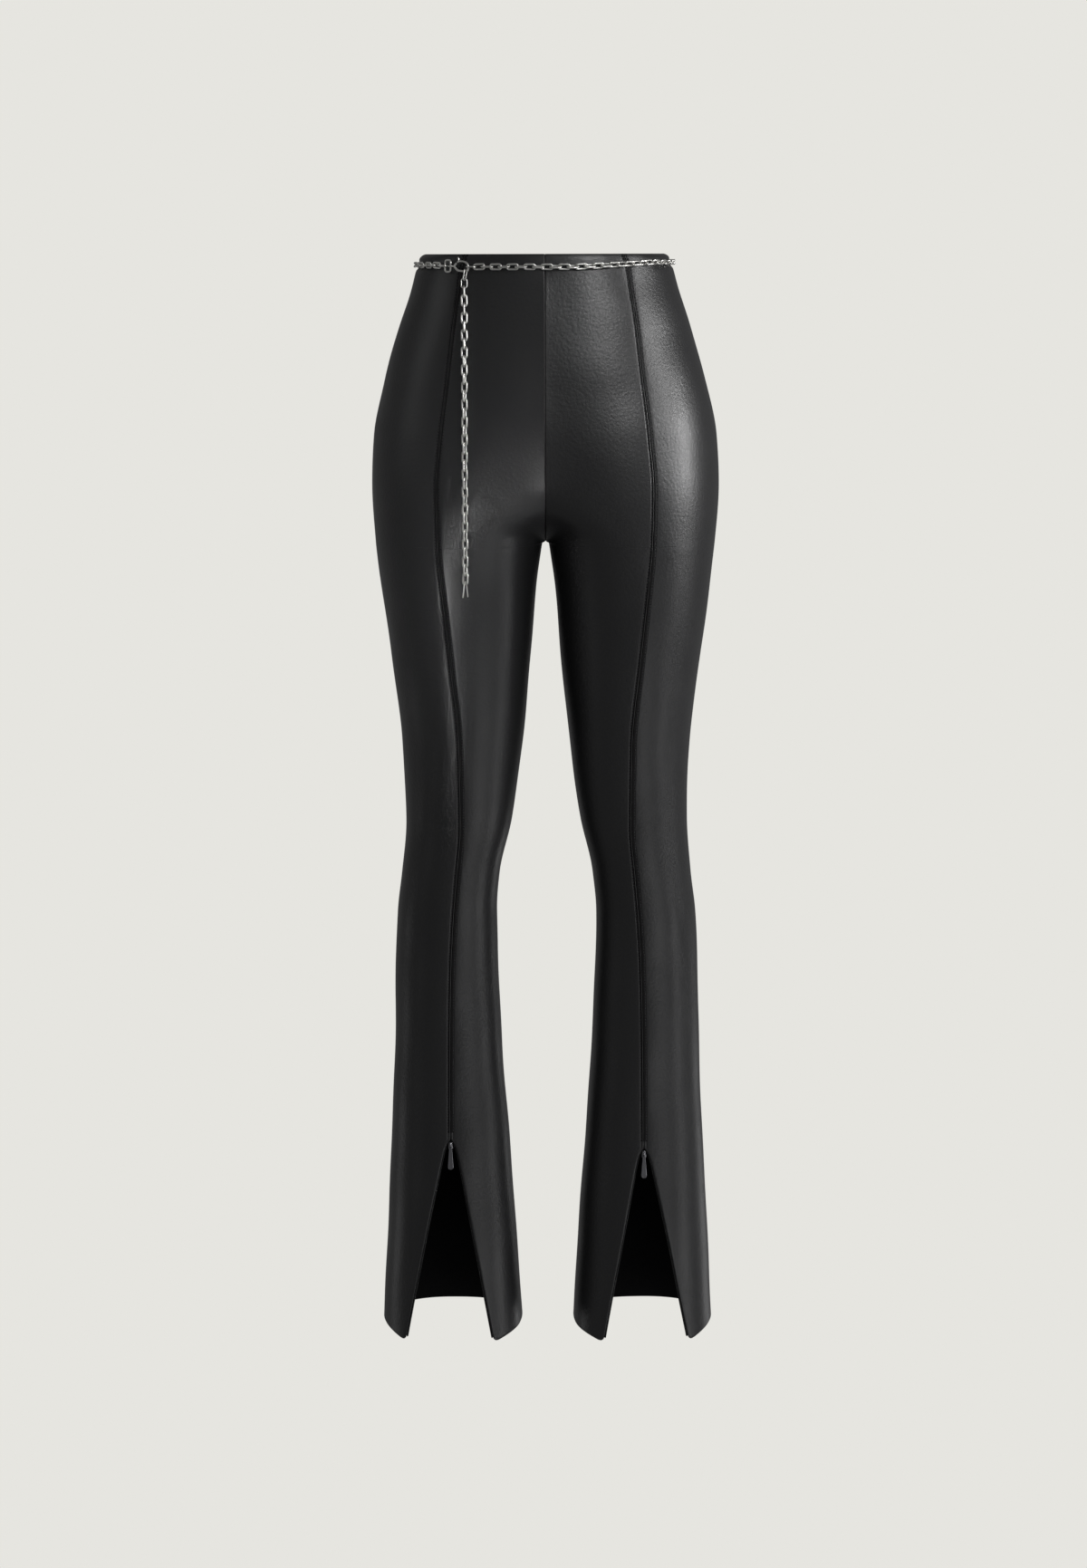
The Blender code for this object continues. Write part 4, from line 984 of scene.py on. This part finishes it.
# --- the chain belt ----------------------------------------------------------------------------
# Nickel-plated steel chain of long links, worn as a belt: a ring at one end, a trigger clasp that
# holds the other, and a length of chain that hangs from the clasp to a forked end.
# Every second link is turned about the chain, at the sides more than at the ends. Each twist adds
# its degrees from a share of the belt's length on and over a stretch of it.
LINK_LENGTH = 0.0118
LINK_WIDTH = 0.0066
LINK_WIRE = 0.00185
LINK_PITCH = 0.0081
LINK_GRIP = 0.0040            # from a link's middle to where its neighbour pulls
LINK_CORNER = 0.0016
CHAIN_LIFT = 0.0037           # from the cloth to the middle of the chain
SIDE_LIFT = 0.0010            # the same at the sides, where it sinks in
BELT_STEPS = 400
RING_X = -0.0905
RING_HEIGHT = 0.0126
RING_WIDTH = 0.0084
RING_WIRE = 0.0018
RING_CORNER = 0.0022
LINK_END = 0.0002             # from the ring's middle to the last link
CAD_WIRE = 0.0019             # the plain solid's thicker wire sets the last link's place
CLASP_SPREAD = 0.0008         # how far the clasp's far end stands off the chain's line
CLASP_RIGHT = 0.0232          # from the ring's middle to the claw's far end
FIRST_LINK = 0.0027           # from there to the middle of the first link
FIRST_LENGTH = 0.0104
FIRST_WIDTH = 0.0070
FIRST_WIRE = 0.0013
FIRST_CORNER = 0.0025
Twist = namedtuple("Twist", "degrees start stretch")
TWIST_START = 90.0            # degrees, of the even links: 0 lies flat on the cloth
TWISTS = (Twist(20.0, 0.00, 0.12), Twist(25.0, 0.12, 0.14), Twist(-45.0, 0.88, 0.12))
LOOSENESS = 0.035             # radians that a link may sway, and the next for the hanging end
TAIL_LOOSENESS = 0.03
CHAIN_LINE_STEPS = 900
CHAIN_LINE_HALF = 0.0005      # half the stretch of the belt that gives its direction at a place
PITCH_SLACK = 0.9999          # keeps the last link from falling off the path's end


def make_plated_steel():
    """Bright nickel plating with a satin finish, hazed here and there by handling."""
    made, tree = new_material("nickel_plated_steel")
    place = add_node(tree, "ShaderNodeTexCoord").outputs["Object"]
    haze = add_node(tree, "ShaderNodeTexNoise", {"Vector": place, "Scale": per_metre(4.0)})
    gloss = add_node(tree, "ShaderNodeMapRange", {"Value": haze.outputs["Fac"],
                                                  "To Min": 0.30, "To Max": 0.40})
    return surfaced(made, {"Base Color": colour("#e6e5e1"), "Metallic": 1.0,
                           "Roughness": gloss.outputs["Result"]})


plated_steel = make_plated_steel()


def belt_path():
    """Points round the waist off the cloth, from the front middle by the wearer's left side."""
    points = []
    for leg, order in (("L", 1), ("R", -1)):
        half = []
        for share in np.linspace(0, 1, BELT_STEPS):
            height = BELT_LOW
            for _ in range(3):
                x = skin(height, np.array([share * section(height)[1][-1]]), leg)[0, 0]
                height = float(belt_height(x if leg == "L" else -x))
            along = np.array([share * section(height)[1][-1]])
            lift = CHAIN_LIFT + (SIDE_LIFT - CHAIN_LIFT) * at_side(x)
            point = (skin(height, along, leg) + outward(height, along, leg) * lift)[0]
            half.append(point * (1 if leg == "L" else -1, 1, 1))
        points += half[::order]
    return np.array(points + points[:1])


belt_points = belt_path()
belt_lengths = lengths_along(belt_points)


def spot_on(points, lengths, along):
    """Place at a length along a line of points."""
    return Vector([np.interp(along, lengths, points[:, axis]) for axis in range(3)])


def belt_frame(start, end):
    """Place between two spots on the belt: X runs to the wearer's left, Y into the body, Z up."""
    first, second = (spot_on(belt_points, belt_lengths, along % belt_lengths[-1])
                     for along in (start, end))
    ahead = (second - first).normalized()
    inward = Vector((0, 0, 1)).cross(ahead).normalized()
    turned = Matrix((ahead, inward, ahead.cross(inward))).transposed().to_4x4()
    return Matrix.Translation((first + second) / 2) @ turned


def along_at(x):
    """Length along the belt's path to a place across the front."""
    front = belt_points[:, 1] < 0
    where = belt_lengths[front] - belt_lengths[-1] * (belt_points[front, 0] < 0)
    order = np.argsort(where)
    return float(np.interp(x, belt_points[front, 0][order], where[order]))


def chain_twist(share):
    """Turn of the even links about the chain at a share of its length, in radians."""
    return np.radians(TWIST_START + sum(twist.degrees * ease((share - twist.start) / twist.stretch)
                                        for twist in TWISTS))


def rounded_ends(points, radii):
    """An open wire's points and radii, with two more beyond each end that round it off."""
    before, after = [], []
    for added, end, inner in ((before, 0, 1), (after, -1, -2)):
        away = (points[end] - points[inner]).normalized()
        for reach, share in ((0.62, 0.72), (0.94, 0.3)):
            added.append((points[end] + away * radii[end] * reach, radii[end] * share))
    line = before[::-1] + list(zip(points, radii)) + after
    return [point for point, _ in line], [radius for _, radius in line]


def tube(name, points, radii, sides=8, closed=False, place=Matrix()):
    """Round wire along points, closed into a loop or with rounded ends."""
    points = [Vector(point) for point in points]
    radii = [float(radius) for radius in np.broadcast_to(radii, len(points))]
    if not closed:
        points, radii = rounded_ends(points, radii)
    count = len(points)
    rings = []
    across = Vector((0, 1, 0)) if closed else (points[1] - points[0]).orthogonal()
    for index, point in enumerate(points):
        before = points[index - 1] if closed or index else point
        after = points[(index + 1) % count] if closed or index < count - 1 else point
        ahead = (after - before).normalized()
        across = (across - ahead * across.dot(ahead)).normalized()
        beside = ahead.cross(across)
        spokes = [across * math.cos(turn) + beside * math.sin(turn)
                  for turn in np.linspace(0, math.tau, sides, endpoint=False)]
        rings.append([place @ (point + radii[index] * spoke) for spoke in spokes])
    faces = []
    for ring in range(count if closed else count - 1):
        low, high = ring * sides, (ring + 1) % count * sides
        faces += [(low + side, low + (side + 1) % sides, high + (side + 1) % sides, high + side)
                  for side in range(sides)]
    if not closed:
        faces += [tuple(range(sides)), tuple(range(count * sides - 1, (count - 1) * sides - 1, -1))]
    return closed_mesh(name, [corner for ring in rings for corner in ring], faces)


def rounded_loop(length, width, wire, corner, steps=4):
    """Middle line of a wire loop, long in X and wide in Z, with rounded corners."""
    a, b = (length - wire) / 2 - corner, (width - wire) / 2 - corner
    corners = ((a, b, 0), (-a, b, 90), (-a, -b, 180), (a, -b, 270))
    return [(x, 0, z) for x, z in quarter_turns(corners, corner, steps)]


def merged(name, meshes, material):
    """One mesh of several closed ones."""
    bm = bmesh.new()
    for mesh in meshes:
        bm.from_mesh(mesh)
    made = bpy.data.meshes.new(name)
    bm.to_mesh(made)
    bm.free()
    made.shade_smooth()
    made.materials.append(material)
    return made


def chain_link():
    """One link of the chain, long in X and wide in Z."""
    return tube("link", rounded_loop(LINK_LENGTH, LINK_WIDTH, LINK_WIRE, LINK_CORNER),
                LINK_WIRE / 2, closed=True)


def chain_line(places, turns):
    """Line of a chain for the shape along a path: points, facing directions and turns."""
    return (np.array([tuple(place.translation) for place in places]),
            np.array([tuple(place.col[2].xyz) for place in places]), turns)


ring_at = along_at(RING_X)
first = ring_at + CLASP_RIGHT + FIRST_LINK
last = ring_at + belt_lengths[-1] - LINK_END - LINK_LENGTH / 2
steps = 2 * round((last - first) / (2 * LINK_PITCH))
shares = np.linspace(1 / steps, 1, CHAIN_LINE_STEPS)
belt_line = chain_line([belt_frame(along - CHAIN_LINE_HALF, along + CHAIN_LINE_HALF)
                        for along in first + (last - first) * shares],
                       chain_twist(shares) + QUARTER_TURN)
spacing = (last - first) * (1 - 1 / steps) / (steps - 1)
links = repeated_mesh("belt_chain", path_mesh("belt_line", belt_line), chain_link(),
                      plated_steel, spacing * PITCH_SLACK, seed=21, every_other=QUARTER_TURN,
                      looseness=LOOSENESS)
first_place = (belt_frame(first - LINK_GRIP, first + LINK_GRIP)
               @ Matrix.Rotation(chain_twist(0), 4, "X"))
first_ring = tube("first_ring",
                  rounded_loop(FIRST_LENGTH, FIRST_WIDTH, FIRST_WIRE, FIRST_CORNER, 5),
                  FIRST_WIRE / 2, closed=True, place=first_place)
add_piece("belt_chain", merged("belt_chain", [links, first_ring], plated_steel), "trousers",
          "silver_steel", "belt_chain")

ring_place = (belt_frame(ring_at - RING_WIDTH / 2, ring_at + RING_WIDTH / 2)
              @ Matrix.Rotation(QUARTER_TURN, 4, "Y"))
ring = tube("belt_ring", rounded_loop(RING_HEIGHT, RING_WIDTH, RING_WIRE, RING_CORNER, 7),
            RING_WIRE / 2, sides=12, closed=True, place=ring_place)
ring.materials.append(plated_steel)
add_piece("belt_ring", ring, "trousers", "silver_steel", "belt_ring")

# --- the clasp ---------------------------------------------------------------------------------
# A trigger clasp cast in one with its eye: a claw that the chain's first link lies in, shut by a
# sprung gate with a thumb stub. The gate turns inwards about its root.
EYE_OUTER = 0.0027
EYE_WIRE = 0.0013
EYE_SLACK = 0.0003
EYE_BASE = 0.0008             # how far the shank starts inside the eye
SHANK_END = 0.0080
SHANK_RADIUS = 0.0008
CLAW_RADIUS = 0.0010
CLAW_TAPER = 0.25             # how much thinner the claw's tip is, and where it starts to thin
TAPER_START = 0.7
SHOULDER_RADIUS = 0.00095
GATE_RADIUS = 0.0008
THUMB_RADIUS = 0.00072
NEARLY = 0.00001              # a loop's corners stay this much under a half circle
CLAW = ((0.0075, 0.0), (0.0093, -0.0020), (0.0120, -0.0036), (0.0155, -0.0042), (0.0210, -0.0042),
        (0.0228, -0.0028), (0.0232, -0.0004), (0.0226, 0.0020), (0.0206, 0.0038), (0.0178, 0.0046))
SHOULDER = ((0.0077, 0.0), (0.0084, 0.0012), (0.0096, 0.0026))
GATE = ((0.0113, 0.0040), (0.0132, 0.0047), (0.0171, 0.0048))
THUMB = ((0.0125, 0.0044), (0.0119, 0.0080))


def curved(points, steps=5):
    """Smooth curve through points in X and Z."""
    points = [np.array((x, 0.0, z)) for x, z in points]
    padded = [2 * points[0] - points[1], *points, 2 * points[-1] - points[-2]]
    line = []
    for index in range(len(points) - 1):
        before, start, end, after = padded[index:index + 4]
        for t in np.linspace(0, 1, steps, endpoint=False):
            line.append(0.5 * (2 * start + (end - before) * t
                               + (2 * before - 5 * start + 4 * end - after) * t ** 2
                               + (3 * start - before - 3 * end + after) * t ** 3))
    return line + [points[-1]]


eye_x = RING_WIDTH / 2 - RING_WIRE / 2 + EYE_SLACK
clasp_place = (belt_frame(ring_at + eye_x, ring_at + CLASP_RIGHT)
               @ Matrix.Rotation(CLASP_SPREAD / CLASP_RIGHT, 4, "Z").inverted()
               @ Matrix.Translation((-(eye_x + CLASP_RIGHT) / 2, -CLASP_SPREAD / 2, 0)))
eye_place = (clasp_place @ Matrix.Translation((eye_x, 0, 0))
             @ Matrix.Rotation(QUARTER_TURN, 4, "X"))
eye = tube("eye", rounded_loop(2 * EYE_OUTER, 2 * EYE_OUTER, EYE_WIRE,
                               EYE_OUTER - EYE_WIRE / 2 - NEARLY, 6),
           EYE_WIRE / 2, sides=10, closed=True, place=eye_place)
shank = tube("shank", ((eye_x + EYE_OUTER - EYE_BASE, 0, 0), (SHANK_END, 0, 0)), SHANK_RADIUS,
             sides=12, place=clasp_place)
claw_line = curved(CLAW)
thinning = ease((np.arange(len(claw_line)) / len(claw_line) - TAPER_START) / (1 - TAPER_START))
claw = tube("claw", claw_line, CLAW_RADIUS * (1 - CLAW_TAPER * thinning), sides=12,
            place=clasp_place)
shoulder = tube("shoulder", curved(SHOULDER), SHOULDER_RADIUS, sides=12, place=clasp_place)
add_piece("belt_clasp", merged("belt_clasp", [eye, shank, claw, shoulder], plated_steel),
          "trousers", "silver_steel", "belt_clasp")
gate = tube("gate", curved(GATE), GATE_RADIUS, sides=12, place=clasp_place)
thumb = tube("thumb", [(x, 0, z) for x, z in THUMB], (THUMB_RADIUS, GATE_RADIUS), sides=12,
             place=clasp_place)
add_piece("clasp_lever", merged("clasp_lever", [gate, thumb], plated_steel), "clasp_lever",
          "silver_steel", "clasp_lever")

# --- the chain's hanging end -------------------------------------------------------------------
# A slim link swings on the claw. The rest of the chain hangs from it by a thin ring, turns
# slowly on its way down the thigh and ends in a forked pin.
TAIL_HOOK_X = 0.0202
TAIL_HOOK_Z = -0.0042
HOOK_SLACK = 0.0002
TOP_LINK_LENGTH = 0.0116
TOP_LINK_WIDTH = 0.0052
TOP_LINK_WIRE = 0.0011
TOP_LINK_CORNER = 0.0018
TOP_LINK_LEAN = math.radians(16)
TAIL_RING_LENGTH = 0.0100
TAIL_RING_WIDTH = 0.0064
TAIL_RING_WIRE = 0.0011
TAIL_RING_CORNER = 0.0022
TAIL_RING_SLACK = 0.0006
TAIL_LINKS = 35
TAIL_LIFT = 0.0056            # from the fullest part of the cloth to the middle of the tail
TAIL_STEP = 0.001             # between the points of its line, which is longer than it needs
TAIL_STEPS = 400
TAIL_TWIST = math.radians(30)           # how far the links turn on the way down
HAIRPIN_RADIUS = 0.0006
HAIRPIN_SLACK = 0.0003
HAIRPIN = ((0.0140, -0.0044), (0.0060, -0.0028), (0.0012, -0.0019), (0.0, -0.0012),
           (0.0, 0.0012), (0.0012, 0.0019), (0.0060, 0.0028), (0.0140, 0.0044))

hook = clasp_place @ Vector((TAIL_HOOK_X, 0, TAIL_HOOK_Z))
beside = (clasp_place.to_3x3() @ Vector((1, 0, 0))).normalized()
away = beside.cross(Vector((0, 0, 1))).normalized()


def hanging(point, across, lean):
    """Place with X down the chain and Z along the given direction."""
    across = (across - lean * across.dot(lean)).normalized()
    turned = Matrix((lean, across.cross(lean), across)).transposed().to_4x4()
    return Matrix.Translation(point) @ turned


lean = away * math.sin(TOP_LINK_LEAN) - Vector((0, 0, math.cos(TOP_LINK_LEAN)))
drop = TOP_LINK_LENGTH / 2 - TOP_LINK_WIRE - CLAW_RADIUS - HOOK_SLACK
top_link = tube("tail_top_link", rounded_loop(TOP_LINK_LENGTH, TOP_LINK_WIDTH, TOP_LINK_WIRE,
                                              TOP_LINK_CORNER, 5),
                TOP_LINK_WIRE / 2, sides=10, closed=True,
                place=hanging(hook + lean * drop, away, lean))
top_link.materials.append(plated_steel)
add_piece("tail_top_link", top_link, "chain_top_link", "silver_steel", "tail_top_link")

pivot = hook + lean * (drop + TOP_LINK_LENGTH / 2 - TOP_LINK_WIRE / 2)
start = pivot.z + TOP_LINK_WIRE / 2 + TAIL_RING_SLACK + TAIL_RING_WIRE
line, furthest = [], pivot.y
for height in start - TAIL_STEP * np.arange(TAIL_STEPS):
    furthest = min(furthest, cloth_y(pivot.x, float(height), "front") - TAIL_LIFT)
    line.append((pivot.x, furthest, height))
line = np.array(line)
line_lengths = lengths_along(line)


def tail_place(index):
    """Place of a link of the tail, before its turn about the chain."""
    along = TAIL_RING_LENGTH / 2 + index * LINK_PITCH
    above, middle, below = (spot_on(line, line_lengths, along + reach)
                            for reach in (-LINK_GRIP, 0, LINK_GRIP))
    return hanging(middle, Vector((1, 0, 0)), (below - above).normalized())


indices = np.linspace(1, TAIL_LINKS - 1, TAIL_STEPS)
turns = TAIL_TWIST * ease(indices / TAIL_LINKS * 2)
tail_line = chain_line([tail_place(index) for index in indices], turns + QUARTER_TURN)
tail_length = float(lengths_along(tail_line[0])[-1])
links = repeated_mesh("tail_chain", path_mesh("tail_line", tail_line), chain_link(), plated_steel,
                      tail_length / (TAIL_LINKS - 2) * PITCH_SLACK, seed=22,
                      every_other=QUARTER_TURN, looseness=TAIL_LOOSENESS)
tail_ring = tube("tail_ring", rounded_loop(TAIL_RING_LENGTH, TAIL_RING_WIDTH, TAIL_RING_WIRE,
                                           TAIL_RING_CORNER, 5),
                 TAIL_RING_WIRE / 2, sides=10, closed=True, place=tail_place(0))
add_piece("tail_chain", merged("tail_chain", [links, tail_ring], plated_steel), "hanging_chain",
          "silver_steel", "tail_chain")
apex = LINK_LENGTH / 2 - CAD_WIRE - HAIRPIN_RADIUS - HAIRPIN_SLACK
last_turn = Matrix.Rotation(float(turns[-1]) + QUARTER_TURN * ((TAIL_LINKS - 1) % 2), 4, "X")
fork = tube("tail_end", [(apex + point[0], point[2], 0) for point in curved(HAIRPIN, 4)],
            HAIRPIN_RADIUS, sides=10, place=tail_place(TAIL_LINKS - 1) @ last_turn)
fork.materials.append(plated_steel)
add_piece("tail_end", fork, "hanging_chain", "silver_steel", "tail_end")

# --- the studio --------------------------------------------------------------------------------
# Plain pale paper runs all round and under the trousers. It glows evenly and neither lights nor
# darkens them, so that softboxes alone draw the leather's highlights. Left and right in a light's
# name are those of someone who faces the trousers.
PAPER_RADIUS = 7.0
PAPER_SIDES = 64
FLOOR = -1.7
PAPER_TOP = 7.0
ROOM_LIGHT = (0.14, 0.14, 0.14, 1.0)

paper, paper_tree = new_material("pale_paper")
paper_glow = add_node(paper_tree, "ShaderNodeEmission", {"Color": colour("#e6e5e0")})
add_node(paper_tree, "ShaderNodeOutputMaterial", {"Surface": paper_glow.outputs["Emission"]})

rim = [(PAPER_RADIUS * math.cos(turn), PAPER_RADIUS * math.sin(turn))
       for turn in np.linspace(0, math.tau, PAPER_SIDES, endpoint=False)]
corners = [(x, y, FLOOR) for x, y in rim] + [(x, y, PAPER_TOP) for x, y in rim]
walls = [((index + 1) % PAPER_SIDES, index, index + PAPER_SIDES,
          (index + 1) % PAPER_SIDES + PAPER_SIDES) for index in range(PAPER_SIDES)]
for name, points, faces in (("backdrop", corners, walls),
                            ("floor", corners[:PAPER_SIDES], [range(PAPER_SIDES)])):
    mesh = bpy.data.meshes.new(name)
    mesh.from_pydata(points, [], faces)
    mesh.materials.append(paper)
    sheet = bpy.data.objects.new(name, mesh)
    bpy.context.scene.collection.objects.link(sheet)
    sheet.visible_diffuse = False
    sheet.visible_glossy = False
    sheet.visible_shadow = False

world = bpy.data.worlds.new("studio")
world.use_nodes = True
world.node_tree.nodes["Background"].inputs["Color"].default_value = ROOM_LIGHT
bpy.context.scene.world = world
bpy.context.scene.view_settings.view_transform = "Standard"


def add_softbox(name, place, target, width, tall, watts):
    """Area light at a place, turned to a target."""
    light_data = bpy.data.lights.new(name, "AREA")
    light_data.shape = "RECTANGLE"
    light_data.size = width
    light_data.size_y = tall
    light_data.energy = watts
    light = bpy.data.objects.new(name, light_data)
    bpy.context.scene.collection.objects.link(light)
    light.location = place
    light.rotation_euler = (target - place).to_track_quat("-Z", "Y").to_euler()
    return light


LIGHT_DISTANCE = 2.2          # from the middle of the trousers
LIGHT_MIDDLE = Vector((0, 0, -0.5))


def round_middle(azimuth, elevation):
    """Place for a light: degrees from the front to the wearer's left, and up."""
    turn, rise = math.radians(azimuth), math.radians(elevation)
    away = Vector((math.sin(turn) * math.cos(rise), -math.cos(turn) * math.cos(rise),
                   math.sin(rise)))
    return LIGHT_MIDDLE + away * LIGHT_DISTANCE


Softbox = namedtuple("Softbox", "name azimuth elevation width tall watts")
for box in (Softbox("key", 70, 25, 0.55, 0.55, 10.6),
            Softbox("high_front", 30, 32, 0.35, 0.35, 10.0),
            Softbox("hip", 88, 15, 0.25, 0.25, 12.0),
            Softbox("side_strip", 78, 5, 0.15, 0.9, 3.2),
            Softbox("low_side", 70, -25, 0.55, 0.55, 2.4),
            Softbox("low_front", 40, -25, 0.55, 0.55, 1.4),
            Softbox("low_middle", 25, -25, 0.55, 0.55, 1.7),
            Softbox("front", 8, 25, 0.55, 0.55, 0.7),
            Softbox("left_front", -60, 0, 0.55, 1.2, 0.5),
            Softbox("left_rim", -105, -25, 0.55, 0.55, 0.8),
            Softbox("left_fill", -85, 25, 0.55, 0.55, 0.8),
            Softbox("under", 40, -55, 1.0, 1.0, 1.2),
            Softbox("right_strip", 95, 0, 0.17, 0.9, 1.0),
            Softbox("back_rim", 130, -25, 0.55, 0.55, 1.2)):
    add_softbox(box.name, round_middle(box.azimuth, box.elevation), LIGHT_MIDDLE, box.width,
                box.tall, box.watts)

# A small light with a honeycomb grid, flagged off the other leg, draws the soft highlight on the
# thigh beside the hanging chain.
GRID_SPREAD = math.radians(11)
THIGH = Vector((-0.080, -0.105, -0.225))
flagged = bpy.data.collections.new("flagged_leg")
for piece in ("front_inner_panel_R", "front_outer_panel_R"):
    flagged.objects.link(bpy.data.objects[piece])
thigh_light = add_softbox("thigh", round_middle(-15, -18), THIGH, 0.3, 0.3, 0.09)
thigh_light.data.spread = GRID_SPREAD
thigh_light.light_linking.receiver_collection = flagged
thigh_light.light_linking.blocker_collection = flagged
